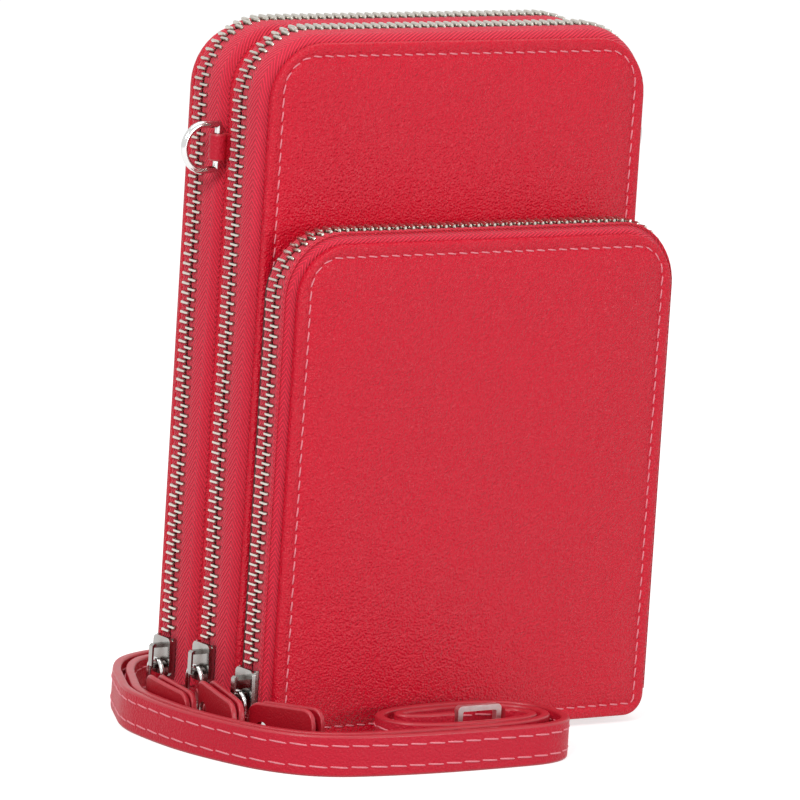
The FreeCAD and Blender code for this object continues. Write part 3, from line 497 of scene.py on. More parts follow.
class Outline:
    """A rounded rectangle in the XZ plane, from a node's box."""

    def __init__(self, node, top_radius, bottom_radius):
        low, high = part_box(node)
        self.half = (high.x - low.x) / 2
        self.low = low.z
        self.high = high.z
        self.top = top_radius
        self.bottom = bottom_radius

    def corner(self, side, upper, inset, steps=10):
        """Points and outward directions of one corner, which tightens towards the middle."""
        radius = max((self.top if upper else self.bottom) - CORNER_PULL * inset, LEAST_RADIUS)
        z = self.high - inset - radius if upper else self.low + inset + radius
        centre = np.array([side * (self.half - inset - radius), z])
        start = {(1, False): -90, (1, True): 0, (-1, True): 90, (-1, False): 180}[(side, upper)]
        turn = np.radians(start + 90 * np.arange(steps + 1) / steps)
        out = np.stack([np.cos(turn), np.sin(turn)], 1)
        return centre + radius * out, out

    def loop(self, inset):
        """Points all round, starting at the lower right corner."""
        corners = [self.corner(s, u, inset)[0] for s, u in ((1, False), (1, True), (-1, True), (-1, False))]
        points = []
        for here, there, steps in zip(corners, corners[1:] + corners[:1], LOOP_STEPS):
            points.append(here)
            share = np.arange(1, steps)[:, None] / steps
            points.append(here[-1] + (there[0] - here[-1]) * share)
        return np.concatenate(points)

    def rim(self, low, side_steps=60, top_steps=38, corner_steps=14):
        """The line up the left side, over the top and down the right side, with its outward directions."""
        left, left_out = self.corner(-1, True, 0.0, corner_steps)
        right, right_out = self.corner(1, True, 0.0, corner_steps)
        side = np.linspace(low, left[-1][1], side_steps, endpoint=False)
        over = np.linspace(left[0][0], right[-1][0], top_steps + 2)[1:-1]
        points = [
            np.stack([np.full(side_steps, -self.half), side], 1),
            left[::-1],
            np.stack([over, np.full(top_steps, self.high)], 1),
            right[::-1],
            np.stack([np.full(side_steps, self.half), side[::-1]], 1),
        ]
        outs = [
            np.tile([-1.0, 0.0], (side_steps, 1)),
            left_out[::-1],
            np.tile([0.0, 1.0], (top_steps, 1)),
            right_out[::-1],
            np.tile([1.0, 0.0], (side_steps, 1)),
        ]
        return np.concatenate(points), np.concatenate(outs)

    def foot(self, steps=22):
        """The line round the left bottom corner, along the foot and round the right one, as in rim."""
        left, left_out = self.corner(-1, False, 0.0)
        right, right_out = self.corner(1, False, 0.0)
        along = np.linspace(left[-1][0], right[0][0], steps + 2)[1:-1]
        points = [left, np.stack([along, np.full(steps, self.low)], 1), right]
        outs = [left_out, np.tile([0.0, -1.0], (steps, 1)), right_out]
        return np.concatenate(points), np.concatenate(outs)


def main_outline(node):
    sizes = bpy.context.scene.pouch_sizes
    return Outline(node, sizes.top_radius, sizes.bottom_radius)


def pocket_outline(node):
    sizes = bpy.context.scene.pouch_sizes
    return Outline(node, sizes.pocket_top_radius, sizes.pocket_bottom_radius)


# Along a stitch: share of its length, then its radius and its rise as shares of the thread's radius.
STITCH = np.array([
    (-0.5, 0.3, -0.6), (-0.4, 0.85, 0.0), (0.0, 1.0, 0.15), (0.4, 0.85, 0.0), (0.5, 0.3, -0.6),
])
THREAD_SIDES = 6
# Radius of the thread in the walls and in the strap.
WALL_THREAD = 0.24 * MM
STRAP_THREAD = 0.25 * MM


def stitches(line, out, pitch, thread, closed=False, share=0.78, slant=0.09):
    """Stitches along a line on a surface: each rises from one hole and dips into the next.

    thread is the thread's radius. share and slant are a stitch's length and its shift aside over the pitch.
    """
    if closed:
        line = np.concatenate([line, line[:1]])
        out = np.concatenate([out, out[:1]])
    far = distances(line)
    count = max(1, int(round(far[-1] / pitch)))
    at = (np.arange(count)[:, None] + 0.5 + share * STITCH[:, 0]) * far[-1] / count
    middle = np.stack([np.interp(at, far, line[:, i]) for i in range(3)], -1)
    up = np.stack([np.interp(at, far, out[:, i]) for i in range(3)], -1)
    run = middle[:, -1:] - middle[:, :1]
    side = np.cross(run / np.linalg.norm(run, axis=2)[..., None], up)
    middle = middle + up * STITCH[:, 2:] * thread + side * STITCH[:, :1] * slant * pitch
    turns = np.arange(THREAD_SIDES) * 2 * math.pi / THREAD_SIDES
    spread = side[:, :, None] * np.cos(turns)[:, None] + up[:, :, None] * np.sin(turns)[:, None]
    rings = middle[:, :, None] + spread * (STITCH[:, 1] * thread)[:, None, None]
    return joined([loft(stitch) for stitch in rings])


# Inset and rise in millimetres: a wall's turned edge, counted from its lined face, then its seam channel and
# softly padded middle, counted from its outer face.
WALL_EDGE = [(0.5, 0.0), (0.12, 0.12), (0.0, 0.45)]
WALL_FACE = [
    (0.0, -0.95), (0.07, -0.5), (0.25, -0.2), (0.6, -0.03), (1.2, 0.06), (2.0, 0.08), (2.6, 0.0),
    (3.0, -0.17), (3.3, -0.22), (3.6, -0.15), (4.0, 0.04), (4.8, 0.24), (7.0, 0.58), (12.0, 1.02),
    (20.0, 1.30), (32.0, 1.42), (45.0, 1.45),
]
SEAM_DEPTH = 0.18 * MM
# Inset in millimetres and share of the half thickness, from face to face of an inner wall.
BOARD_EDGE = [
    (3.0, -1), (0.5, -1), (0.12, -0.8), (0.0, -0.4), (0.0, 0.4), (0.12, 0.8), (0.5, 1), (3.0, 1),
]


def leather_wall(node, body, outline, side):
    """A leather wall with its turned edge, seam channel and stitches. side is -1 where it faces front."""
    low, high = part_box(node)
    inner = high.y if side < 0 else low.y
    thickness = high.y - low.y
    profile = WALL_EDGE + [(inset, thickness / MM + rise) for inset, rise in WALL_FACE]
    rings = [upright(outline.loop(inset * MM), inner + side * rise * MM) for inset, rise in profile]
    verts, faces = loft(rings)
    marks = [0] * len(faces)
    first_cap = -2
    marks[first_cap] = 1
    piece(
        f"{node}_leather", body, verts, faces, [wall_leather(), lining_cloth()], marks,
        stands_for=[node], sharp=60.0,
    )
    sizes = bpy.context.scene.pouch_sizes
    seam = outline.loop(sizes.seam_inset)
    line = upright(seam, inner + side * (thickness - SEAM_DEPTH))
    out = np.tile([0.0, side, 0.0], (len(seam), 1))
    verts, faces = stitches(line, out, sizes.stitch_pitch, WALL_THREAD, closed=True)
    piece(f"{node}_stitches", body, verts, faces, [sewing_thread()], sharp=70.0)


class POUCH_OT_walls(bpy.types.Operator):
    """Make the leather walls, the divider and the pocket's backing"""

    bl_idname = "pouch.walls"
    bl_label = "Walls"

    def execute(self, context):
        leather_wall("back_panel", "back_flap", main_outline("back_panel"), 1)
        leather_wall("front_panel", "pouch_front", main_outline("front_panel"), -1)
        leather_wall("pocket_panel", "pocket_flap", pocket_outline("pocket_panel"), -1)
        divider = main_outline("divider_panel")
        self.board("divider_panel", "rear_half", divider, wall_leather(), "panel_leather")
        backing = pocket_outline("pocket_backing")
        self.board("pocket_backing", "pouch_front", backing, raw_edge(), "raw_edge")
        return {"FINISHED"}

    def board(self, node, body, outline, edge, slot):
        """A flat inner wall, lined on both faces, with a softly rounded edge."""
        low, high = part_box(node)
        middle, half = (low.y + high.y) / 2, (high.y - low.y) / 2
        rings = [upright(outline.loop(inset * MM), middle + share * half) for inset, share in BOARD_EDGE]
        verts, faces = loft(rings)
        count, caps = len(rings[0]), 2
        marks = [0] * len(faces)
        marks[:count] = [1] * count
        marks[-caps - count:] = [1] * (count + caps)
        piece(f"{node}_board", body, verts, faces, [edge, lining_cloth()], marks, stands_for=[node])


class POUCH_OT_base_strips(bpy.types.Operator):
    """Make the leather strips under the compartments"""

    bl_idname = "pouch.base_strips"
    bl_label = "Base strips"

    def execute(self, context):
        self.strip("rear_base", "rear_half", main_outline("divider_panel"))
        self.strip("front_base", "pouch_front", main_outline("front_panel"))
        self.strip("pocket_base", "pouch_front", pocket_outline("pocket_panel"))
        return {"FINISHED"}

    def strip(self, node, body, outline):
        """A strip along the foot, lined on top. Its section is outward places and depths in millimetres."""
        low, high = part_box(node)
        y0, y1 = low.y / MM, high.y / MM
        section = [
            (0.0, y0 + 0.6), (0.0, y1 - 0.6), (-0.15, y1 - 0.15), (-0.6, y1), (-1.3, y1), (-1.8, y1 - 0.3),
            (-1.8, y0 + 0.3), (-1.3, y0), (-0.6, y0), (-0.15, y0 + 0.15),
        ]
        rings = []
        for point, out in zip(*outline.foot()):
            rings.append([(*(point + out * d * MM), y * MM) for d, y in section])
        verts, faces = loft(rings)
        lined_sides = {4, 5, 6}
        marks = [1 if i % len(section) in lined_sides else 0 for i in range(len(faces) - 2)] + [0, 0]
        piece(
            f"{node}_leather", body, verts[:, [0, 2, 1]], faces,
            [wall_leather(), lining_cloth()], marks, stands_for=[node],
        )


def smooth_line(points, steps=5):
    """A smooth line through points, with more points between them."""
    knots = np.asarray(points, float)
    ends = np.concatenate([[2 * knots[0] - knots[1]], knots, [2 * knots[-1] - knots[-2]]])
    line = []
    for a, b, c, d in zip(ends, ends[1:], ends[2:], ends[3:]):
        square, cube = 2 * a - 5 * b + 4 * c - d, 3 * b - a - 3 * c + d
        for k in range(steps):
            s = k / steps
            line.append(0.5 * (2 * b + (c - a) * s + square * s**2 + cube * s**3))
    line.append(knots[-1])
    return np.array(line)


# Each zip's rim, the walls behind and before it, and the bodies that those two walls' tapes ride on.
ZIPS = {
    "rear": ("divider_panel", "back_panel", "divider_panel", "back_flap", "rear_half"),
    "front": ("front_panel", "divider_panel", "front_panel", "rear_half", "pouch_front"),
    "pocket": ("pocket_panel", "pocket_backing", "pocket_panel", "pouch_front", "pocket_flap"),
}


def chain_line(name):
    """The middle of a zip's chain, front to back."""
    low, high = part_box(f"{name}_slider")
    return (low.y + high.y) / 2


class POUCH_OT_zip_tapes(bpy.types.Operator):
    """Make the twill tapes that join the chains to the walls"""

    bl_idname = "pouch.zip_tapes"
    bl_label = "Zip tapes"

    def execute(self, context):
        for name, (rim, back, front, back_body, front_body) in ZIPS.items():
            outline = pocket_outline(rim) if name == "pocket" else main_outline(rim)
            middle = chain_line(name)
            self.tape(f"{name}_tape_back", back_body, outline, middle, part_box(back)[0].y)
            self.tape(f"{name}_tape_front", front_body, outline, middle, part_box(front)[1].y)
        return {"FINISHED"}

    def tape(self, node, body, outline, middle, seam):
        """A tape from chain to wall. Its section is places aside and outward in millimetres."""
        sizes = bpy.context.scene.pouch_sizes
        thick = sizes.tape_thickness / MM
        proud = sizes.chain_proud / MM + thick / 2
        reach = abs(seam - middle) / MM
        side = 1 if seam > middle else -1
        if side > 0:
            fall = [(4.7, proud - 0.75), (reach - 1.7, 0.45), (reach - 0.5, -0.1)]
        else:
            fall = [(4.6, proud - 0.05), (reach - 1.7, proud - 0.75), (reach - 0.5, 0.5)]
        crest = [(0.3, proud - 0.2), (2.3, proud - 0.05), (3.3, proud)]
        outer = smooth_line([*crest, *fall, (reach - 0.1, -0.7)])
        section = np.concatenate([outer, (outer - sideways(outer) * thick)[::-1]])
        across = distances(section) * MM
        points, outs = outline.rim(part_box(node)[0].z)
        rings, cloth = [], []
        for point, out, far in zip(points, outs, distances(points)):
            spots = [point + out * d * MM for w, d in section]
            rings.append([(p[0], middle + side * w * MM, p[1]) for p, (w, d) in zip(spots, section)])
            cloth += [(far, v) for v in across]
        verts, faces = loft(rings)
        piece(
            node.replace("tape", "twill"), body, verts, faces, [zip_twill()], cloth=cloth,
            stands_for=[node],
        )


# Share of a tooth's length from the tape to its tip, with its width and depth there as shares of the heel's.
TOOTH = [
    (0.0, 0.46, 0.72), (0.05, 0.66, 0.94), (0.15, 0.74, 1.0), (0.55, 0.70, 0.98), (0.84, 0.70, 0.94),
    (0.96, 0.62, 0.84), (1.0, 0.42, 0.56),
]
# Points round a tooth's section, and the power that squares it: 1 is round, and less is squarer.
TOOTH_SIDES = 8
TOOTH_ROUNDNESS = 0.6


class POUCH_OT_zip_teeth(bpy.types.Operator):
    """Make the rounded metal teeth of the zips"""

    bl_idname = "pouch.zip_teeth"
    bl_label = "Zip teeth"

    def execute(self, context):
        for name, (*_, back_body, front_body) in ZIPS.items():
            self.row(f"{name}_teeth_back", back_body)
            self.row(f"{name}_teeth_front", front_body)
        return {"FINISHED"}

    def blocks(self, node):
        """The eight corners of each tooth."""
        work = bmesh.new()
        work.from_mesh(NODES[node].data)
        bmesh.ops.remove_doubles(work, verts=work.verts, dist=0.001 * MM)
        work.verts.ensure_lookup_table()
        seen = set()
        for start in work.verts:
            if start.index in seen:
                continue
            group, queue = [], [start]
            seen.add(start.index)
            while queue:
                here = queue.pop()
                group.append(np.array(here.co))
                for edge in here.link_edges:
                    other = edge.other_vert(here)
                    if other.index not in seen:
                        seen.add(other.index)
                        queue.append(other)
            yield np.array(group)
        work.free()

    def row(self, node, body):
        """A row of teeth, each in the place of a block of its node."""
        middle = chain_line(node.split("_")[0])
        turns = (np.arange(TOOTH_SIDES) + 0.5) * 2 * math.pi / TOOTH_SIDES
        around = np.stack([np.cos(turns), np.sin(turns)], 1)
        around = np.sign(around) * np.abs(around)**TOOTH_ROUNDNESS
        teeth = []
        for corners in self.blocks(node):
            order = np.argsort(-np.abs(corners[:, 1] - middle))
            heel, tip = corners[order[:4]], corners[order[4:]]
            spans = heel[1:] - heel[0]
            spans = spans[np.argsort(np.linalg.norm(spans, axis=1))]
            wide, deep = spans[0] / 2, spans[1] / 2
            start, end = heel.mean(0), tip.mean(0)
            rings = []
            for share, width, depth in TOOTH:
                centre = start + (end - start) * share
                rings.append([centre + wide * width * a + deep * depth * b for a, b in around])
            teeth.append(loft(rings))
        verts, faces = joined(teeth)
        piece(f"{node}_row", body, verts, faces, [zip_nickel()], stands_for=[node])


# Edges of a metal part that turn by more than this are rounded.
SHARP_TURN = math.radians(35)


def polish(node, material, width, segments=2):
    """Give a metal part its finish, and edges that are rounded over a width in millimetres."""
    part = NODES[node]
    part.data.materials.clear()
    part.data.materials.append(material)
    part.data.shade_smooth()
    if width:
        bevel = part.modifiers.new("Rounded edges", "BEVEL")
        bevel.width = width * MM
        bevel.segments = segments
        bevel.limit_method = "ANGLE"
        bevel.angle_limit = SHARP_TURN
        bevel.harden_normals = True
    part.data.set_sharp_from_angle(angle=SHARP_TURN)


class POUCH_OT_zip_metal(bpy.types.Operator):
    """Finish the sliders, links, stops and rivets"""

    bl_idname = "pouch.zip_metal"
    bl_label = "Sliders and links"

    def execute(self, context):
        for name in ZIPS:
            polish(f"{name}_slider", slider_steel(), 0.45, 3)
            polish(f"{name}_pull_link", ring_chrome(), 0)
            polish(f"{name}_end_stop", zip_nickel(), 0.25)
            polish(f"{name}_pull_rivet", ring_chrome(), 0.12)
        return {"FINISHED"}


# Points round each corner of a strip's section.
CORNER_POINTS = 4


def strip_section(thick, low, high):
    """A strip's rounded section, as places away from its middle and heights, round from its outer face.

    Its edges bend in by bend, and hold is where its flat faces start.
    """
    bend = min(0.45 * thick, 0.6 * MM)
    hold = bend + 0.3 * MM
    corners = []
    for quarter, (away, edge, up) in enumerate(((1, high, 1), (-1, high, 1), (-1, low, -1), (1, low, -1))):
        for k in range(CORNER_POINTS):
            turn = math.pi / 2 * (quarter + k / (CORNER_POINTS - 1))
            corners.append((
                away * (thick / 2 - bend) + bend * math.cos(turn), edge - up * bend + bend * math.sin(turn),
            ))
    outer, inner = thick / 2, -thick / 2
    top, foot = corners[:2 * CORNER_POINTS], corners[2 * CORNER_POINTS:]
    high_hold, low_hold = high - hold, low + hold
    return [(outer, high_hold), *top, (inner, high_hold), (inner, low_hold), *foot, (outer, low_hold)]


def folded_strip(line, heights, thick):
    """A leather strip that stands along a plan line: vertices, faces and marks that are 1 on its cut edges.

    heights gives its low and high edge at each point and thick its thickness there.
    """
    line = np.asarray(line, float)
    layers = np.broadcast_to(thick, len(line))
    rings = []
    for point, turn, (low, high), here in zip(line, sideways(line), heights, layers):
        rings.append([(*(point + turn * away), rise) for away, rise in strip_section(here, low, high)])
    verts, faces = loft(rings)
    edge = [1] * (2 * CORNER_POINTS - 1)
    round_once = [0, *edge, 0, 0, 0, *edge, 0, 0]
    return verts, faces, round_once * (len(line) - 1) + [1, 1]


def leather_strip(name, body, strip, leather_finish, node):
    """A piece of folded strip with painted edges, in place of a node."""
    verts, faces, marks = strip
    finishes = [leather_finish, edge_paint()]
    return piece(name, body, verts, faces, finishes, marks, stands_for=[node], sharp=55.0)


# Each pull: reach of its neck, outward turns of its neck and tab in degrees, rise of its tab's far end, and
# how far its two layers part there. Lengths are in millimetres.
PULLS = {
    "rear": (11.0, 50.0, 2.5, -1.4, -0.55),
    "front": (7.3, 28.0, 8.5, -2.3, -0.45),
    "pocket": (4.0, 0.0, -16.0, 1.6, 0.3),
}
# A pull's layers thicken from this far before its bend, over this run, and part from this far past it.
THICKEN_LEAD = 0.8 * MM
THICKEN_RUN = 2.0 * MM
PART_START = 8 * MM
# How far the middle of a tab lies under its neck's, and the length at its end that has finer steps.
TAB_DROP = 0.1 * MM
FINE_END = 4 * MM


class POUCH_OT_pull_tabs(bpy.types.Operator):
    """Make the folded leather pull tabs"""

    bl_idname = "pouch.pull_tabs"
    bl_label = "Pull tabs"

    def execute(self, context):
        for name, shape in PULLS.items():
            self.tab(name, *shape)
        return {"FINISHED"}

    def bent_line(self, fold, reach, neck_turn, tab_turn):
        """The middle of a pull in plan, from its fold to its far end, with the distance past its bend."""
        neck, tab = (np.array([-math.sin(a), -math.cos(a)]) for a in np.radians([neck_turn, tab_turn]))
        bend, soft = fold + neck * reach, 0.6 * reach
        far = bpy.context.scene.pouch_sizes.tab_length
        line = [fold + neck * t for t in np.linspace(0, reach - soft, 8)]
        start, end = bend - neck * soft, bend + tab * soft
        for u in np.linspace(0, 1, 10)[1:-1]:
            line.append((1 - u)**2 * start + 2 * u * (1 - u) * bend + u**2 * end)
        line += [bend + tab * t for t in np.linspace(soft, far - FINE_END, 24)]
        line += [bend + tab * t for t in np.linspace(far - FINE_END, far, 12)[1:]]
        line = np.array(line)
        past = distances(line)
        return line, past - past[-1] + far

    def tab(self, name, reach, neck_turn, tab_turn, rise, part):
        """Two layers folded round the link, with a thin narrow neck and a rounded end."""
        sizes = bpy.context.scene.pouch_sizes
        link_low, link_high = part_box(f"{name}_pull_link")
        wire = link_high.x - link_low.x
        fold = np.array([(link_low.x + link_high.x) / 2, link_low.y + wire / 2])
        line, past = self.bent_line(fold, reach * MM, neck_turn, tab_turn)
        out = -sideways(line)
        grow = np.clip((past + THICKEN_LEAD) / THICKEN_RUN, 0, 1)
        thick = sizes.neck_layer + (sizes.tab_layer - sizes.neck_layer) * grow
        open_end = np.clip((past - PART_START) / (sizes.tab_length - PART_START), 0, 1)**2 * part * MM
        away = sizes.tab_gap / 2 + thick / 2 + open_end
        neck_half = sizes.neck_height / 2
        neck_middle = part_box(f"{name}_slider")[0].z - sizes.neck_room - neck_half
        middle = neck_middle - TAB_DROP + rise * MM * np.clip(past / sizes.tab_length, 0, 1)
        corner = sizes.tab_corner
        near_end = np.minimum(past, sizes.tab_length - past)
        cut = corner - np.sqrt(corner**2 - np.clip(corner - near_end, 0, corner)**2)
        half = np.where(past > 0, np.maximum(sizes.tab_height / 2 - cut, neck_half), neck_half)
        heights = np.stack([middle - half, middle + half], 1)
        turns = np.radians(np.linspace(0, 180, 13))[1:-1]
        ahead = directions(line)[0]
        around = [fold + away[0] * (out[0] * math.cos(a) - ahead * math.sin(a)) for a in turns]
        path = np.concatenate([(line + out * away[:, None])[::-1], around, line - out * away[:, None]])
        levels = np.concatenate([heights[::-1], np.tile(heights[0], (len(turns), 1)), heights])
        layers = np.concatenate([thick[::-1], np.full(len(turns), thick[0]), thick])
        strip = folded_strip(path, levels, layers)
        leather_strip(f"{name}_pull_leather", f"{name}_pull", strip, pull_leather(), f"{name}_pull_tab")


class POUCH_OT_side_rings(bpy.types.Operator):
    """Finish the D-rings and make their leather loops"""

    bl_idname = "pouch.side_rings"
    bl_label = "Side rings"

    def execute(self, context):
        for side, word in ((-1, "left"), (1, "right")):
            polish(f"{word}_d_ring", ring_chrome(), 0)
            self.loop(side, word)
        return {"FINISHED"}

    def loop(self, side, word):
        """A strip round the ring's bar whose two ends go in beside the divider."""
        low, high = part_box(f"{word}_ring_loop")
        near, far = sorted((low.x, high.x), key=abs)
        middle = (low.y + high.y) / 2
        thick, tail, pinch, wrap = 1.0 * MM, 0.55 * MM, 0.6 * MM, 152
        outer = (high.y - low.y) / 2
        radius = outer - thick / 2
        centre = far - side * outer
        throat = near + side * pinch
        line = [(near, middle - tail), (throat, middle - pinch)]
        for a in np.radians(np.linspace(-wrap, wrap, 25)):
            line.append((centre + side * radius * math.cos(a), middle + radius * math.sin(a)))
        line += [(throat, middle + pinch), (near, middle + tail)]
        strip = folded_strip(line, [(low.z, high.z)] * len(line), thick)
        leather_strip(f"{word}_loop_leather", "rear_half", strip, strap_leather(), f"{word}_ring_loop")


# The strap's route on the floor, in millimetres: from the long end behind the pouch round to the buckle,
# and from the buckle back to the short end.
LONG_ROUTE = [
    (19.4, 49.5), (-15.0, 50.0), (-41.0, 49.0), (-58.8, 43.6), (-68.2, 32.6), (-74.4, 20.0), (-80.7, 7.0),
    (-81.3, -8.0), (-80.6, -20.0), (-77.6, -33.0), (-72.8, -46.6), (-62.6, -57.8), (-43.0, -61.9),
    (-20.0, -63.5), (15.0, -63.0), (15.0, -33.0), (-35.0, -33.5), (-35.0, -55.0), (7.0, -55.0), (7.0, -44.0),
    (2.2, -44.0),
]
SHORT_ROUTE = [
    (-13.8, -44.0), (-28.0, -44.0), (-28.0, -37.0), (11.0, -37.0), (11.0, -59.0), (-42.5, -58.4),
    (-61.0, -55.0), (-70.4, -44.8), (-75.2, -31.7), (-77.9, -19.6), (-78.6, -8.0), (-78.0, 6.0),
    (-71.7, 18.2), (-65.4, 30.4), (-57.0, 40.0), (-46.5, 43.0), (-20.0, 41.8), (2.4, 41.0),
]


class POUCH_OT_strap(bpy.types.Operator):
    """Lay the two strap parts, sew them and finish their fittings"""

    bl_idname = "pouch.strap"
    bl_label = "Strap"

    def execute(self, context):
        polish("strap_buckle", buckle_nickel(), 0.7, 3)
        for word in ("long", "short"):
            polish(f"{word}_hook_eye", ring_chrome(), 0.3)
            polish(f"{word}_hook", ring_chrome(), 0.2)
            polish(f"{word}_hook_gate", ring_chrome(), 0)
        self.part("long", LONG_ROUTE, ["long_hook_eye", "long_hook", "long_hook_gate", "strap_buckle"])
        self.part("short", SHORT_ROUTE, ["short_hook_eye", "short_hook", "short_hook_gate"])
        return {"FINISHED"}

    def smooth_path(self, route, level):
        """The strap's middle line, read from one smooth spline whose control points are its route."""
        data = bpy.data.curves.new("strap_route", "CURVE")
        data.dimensions = "3D"
        spline = data.splines.new("NURBS")
        spline.points.add(len(route) - 1)
        for point, (x, y) in zip(spline.points, route):
            point.co = (x * MM, y * MM, level, 1)
        spline.order_u = 3
        spline.use_endpoint_u = True
        spline.resolution_u = 14
        guide = bpy.data.objects.new("strap_route", data)
        bpy.context.scene.collection.objects.link(guide)
        bpy.context.view_layer.update()
        mesh = bpy.data.meshes.new_from_object(guide.evaluated_get(bpy.context.evaluated_depsgraph_get()))
        line = np.array([v.co[:] for v in mesh.vertices])
        bpy.data.meshes.remove(mesh)
        bpy.data.objects.remove(guide)
        bpy.data.curves.remove(data)
        least_step = 0.05 * MM
        return line[np.diff(distances(line), prepend=-1.0) > least_step]

    def part(self, word, route, fittings):
        """One part of the strap with its seams."""
        sizes = bpy.context.scene.pouch_sizes
        width, thick = sizes.strap_width, sizes.strap_thickness
        line = self.smooth_path(route, width / 2)
        flat = line[:, :2]
        strip = folded_strip(flat, [(0.0, width)] * len(flat), thick)
        name = f"{word}_strap"
        strap = leather_strip(f"{name}_leather", "pouch_front", strip, strap_leather(), name)
        thread = self.seams(word, flat)
        length = float(distances(line)[-1])

    def seams(self, word, flat):
        """Two lines of stitches on each face of the strap."""
        sizes = bpy.context.scene.pouch_sizes
        across = sideways(flat)
        rows = []
        for face in (-1, 1):
            edge = flat + across * face * (sizes.strap_thickness / 2)
            out = np.concatenate([across * face, np.zeros((len(flat), 1))], 1)
            for level in (sizes.strap_inset, sizes.strap_width - sizes.strap_inset):
                line = np.concatenate([edge, np.full((len(flat), 1), level)], 1)
                rows.append(stitches(line, out, sizes.strap_pitch, STRAP_THREAD, share=0.92, slant=0.05))
        verts, faces = joined(rows)
        return piece(
            f"{word}_strap_stitches", "pouch_front", verts, faces, [sewing_thread()],
            sharp=70.0,
        )


# Each lamp's place and width, the point that all lamps aim at, and half the floor's width, in metres.
LAMPS = {
    "key": ((-1.05, -0.78, 0.92), 0.5),
    "fill": ((0.5, -1.4, 0.24), 0.4),
    "top": ((0.0, 0.1, 1.6), 1.4),
}
LAMP_AIM = Vector((0, 0, 0.09))
FLOOR_REACH = 12.0
# The camera's place and aim in metres, and its shift in pixels of a picture this wide.
CAMERA_PLACE = Vector((-1.1256, -1.6108, 0.4156))
CAMERA_AIM = Vector((0.0, 0.010, 0.090))
CAMERA_SHIFT = (1.5, -29.4)
PICTURE_WIDTH = 800


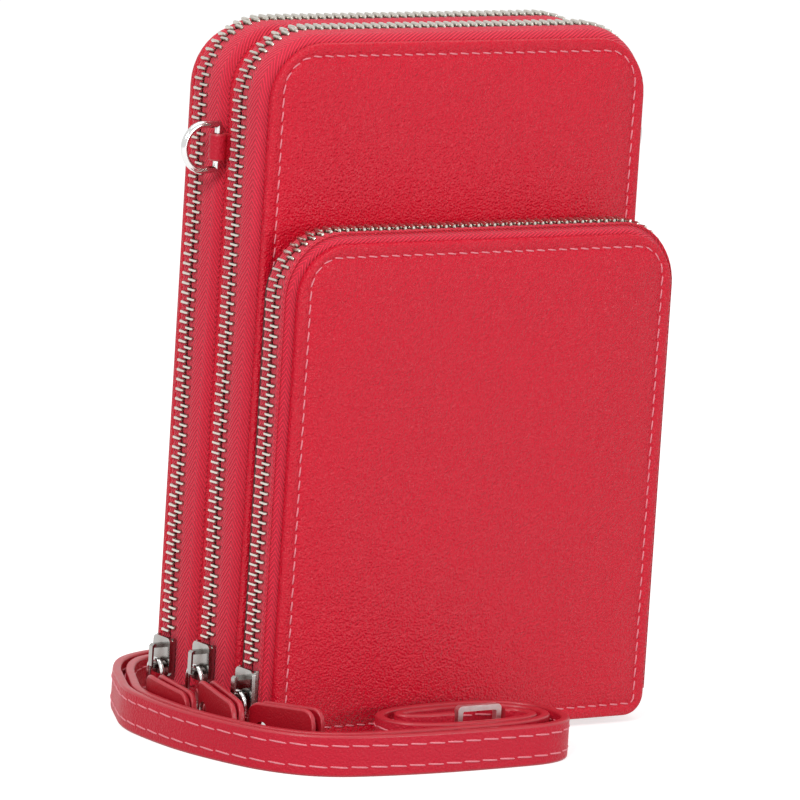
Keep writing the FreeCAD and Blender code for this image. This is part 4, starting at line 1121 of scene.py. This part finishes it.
class POUCH_OT_stage(bpy.types.Operator):
    """Set up the floor, the lamps and the camera"""

    bl_idname = "pouch.stage"
    bl_label = "Stage"

    def execute(self, context):
        self.floor()
        self.lamps(context.scene.pouch_stage)
        self.camera(context.scene.pouch_stage)
        context.scene.view_settings.view_transform = "Standard"
        return {"FINISHED"}

    def floor(self):
        """A wide pale floor that shows white to the camera and keeps soft shadows."""
        corners = [(x * FLOOR_REACH, y * FLOOR_REACH, 0) for x, y in ((-1, -1), (1, -1), (1, 1), (-1, 1))]
        mesh = bpy.data.meshes.new("floor")
        mesh.from_pydata(corners, [], [(0, 1, 2, 3)])

        def fill(at):
            lift = bpy.context.scene.pouch_stage.lift
            return {
                "Base Color": rgba(colours().floor),
                "Roughness": 1.0,
                "Specular IOR Level": 0.0,
                "Emission Color": self.shown(at).mix((0, 0, 0, 1), rgba((lift, lift, lift))),
                "Emission Strength": 1.0,
            }

        mesh.materials.append(finish("pale_floor", fill))
        floor = bpy.data.objects.new("floor", mesh)
        bpy.context.scene.collection.objects.link(floor)
        floor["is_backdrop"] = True

    def shown(self, at):
        """1 where the camera, a reflection or a clear piece shows a thing, and 0 where it gives light."""
        rays = ("Is Camera Ray", "Is Glossy Ray", "Is Transmission Ray")
        seen, shine, clear = (at.node("ShaderNodeLightPath", out=ray) for ray in rays)
        return (seen + shine + clear).maths("MINIMUM", 1.0)

    def lamps(self, stage):
        """Three soft round lamps, and a sky that gives an even light and shows white."""
        for name, (place, size) in LAMPS.items():
            data = bpy.data.lights.new(f"{name}_lamp", "AREA")
            data.shape = "DISK"
            data.size = size
            data.energy = getattr(stage, name)
            lamp = bpy.data.objects.new(f"{name}_lamp", data)
            lamp.location = place
            aim = LAMP_AIM - lamp.location
            lamp.rotation_euler = aim.to_track_quat("-Z", "Y").to_euler()
            bpy.context.scene.collection.objects.link(lamp)
        world = bpy.data.worlds.new("soft_sky")
        bpy.context.scene.world = world
        at = empty_tree(world)
        strength = stage.sky + self.shown(at) * (1.0 - stage.sky)
        light = at.node("ShaderNodeBackground", {}, {"Color": (1, 1, 1, 1), "Strength": strength})
        at.node("ShaderNodeOutputWorld", {}, {"Surface": light})

    def camera(self, stage):
        """The photograph's view: from the front left, a little above the pouch."""
        data = bpy.data.cameras.new("camera")
        data.lens = stage.lens
        data.sensor_width = 36.0
        data.sensor_fit = "HORIZONTAL"
        data.shift_x, data.shift_y = (shift / PICTURE_WIDTH for shift in CAMERA_SHIFT)
        data.clip_end = 50.0
        camera = bpy.data.objects.new("camera", data)
        ahead = (CAMERA_AIM - CAMERA_PLACE).normalized()
        right = ahead.cross(Vector((0, 0, 1))).normalized()
        up = right.cross(ahead)
        c, s = math.cos(stage.roll), math.sin(stage.roll)
        right, up = right * c + up * s, up * c - right * s
        turn = Matrix((right, up, -ahead)).transposed().to_4x4()
        camera.matrix_world = Matrix.Translation(CAMERA_PLACE) @ turn
        bpy.context.scene.collection.objects.link(camera)
        bpy.context.scene.camera = camera


STEPS = (
    POUCH_OT_walls, POUCH_OT_base_strips, POUCH_OT_zip_tapes, POUCH_OT_zip_teeth, POUCH_OT_zip_metal,
    POUCH_OT_pull_tabs, POUCH_OT_side_rings, POUCH_OT_strap, POUCH_OT_stage,
)


class VIEW3D_PT_pouch(bpy.types.Panel):
    """Buttons that make the pouch's pieces"""

    bl_label = "Phone pouch"
    bl_space_type = "VIEW_3D"
    bl_region_type = "UI"
    bl_category = "Pouch"

    def draw(self, context):
        for step in STEPS:
            self.layout.operator(step.bl_idname)


GROUPS = {"pouch_colours": PouchColours, "pouch_sizes": PouchSizes, "pouch_stage": PouchStage}


def register():
    for group in GROUPS.values():
        bpy.utils.register_class(group)
    for name, group in GROUPS.items():
        setattr(bpy.types.Scene, name, PointerProperty(type=group))
    for step in STEPS:
        bpy.utils.register_class(step)
    bpy.utils.register_class(VIEW3D_PT_pouch)


def unregister():
    bpy.utils.unregister_class(VIEW3D_PT_pouch)
    for step in reversed(STEPS):
        bpy.utils.unregister_class(step)
    for name, group in GROUPS.items():
        delattr(bpy.types.Scene, name)
        bpy.utils.unregister_class(group)


def main():
    register()
    bpy.ops.pouch.walls()
    bpy.ops.pouch.base_strips()
    bpy.ops.pouch.zip_tapes()
    bpy.ops.pouch.zip_teeth()
    bpy.ops.pouch.zip_metal()
    bpy.ops.pouch.pull_tabs()
    bpy.ops.pouch.side_rings()
    bpy.ops.pouch.strap()
    bpy.ops.pouch.stage()
    boxes = {"cad": CAD_BOX, "visual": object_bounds()}
    {name: [list(corner) for corner in box] for name, box in boxes.items()}


if __name__ == "__main__":
    main()
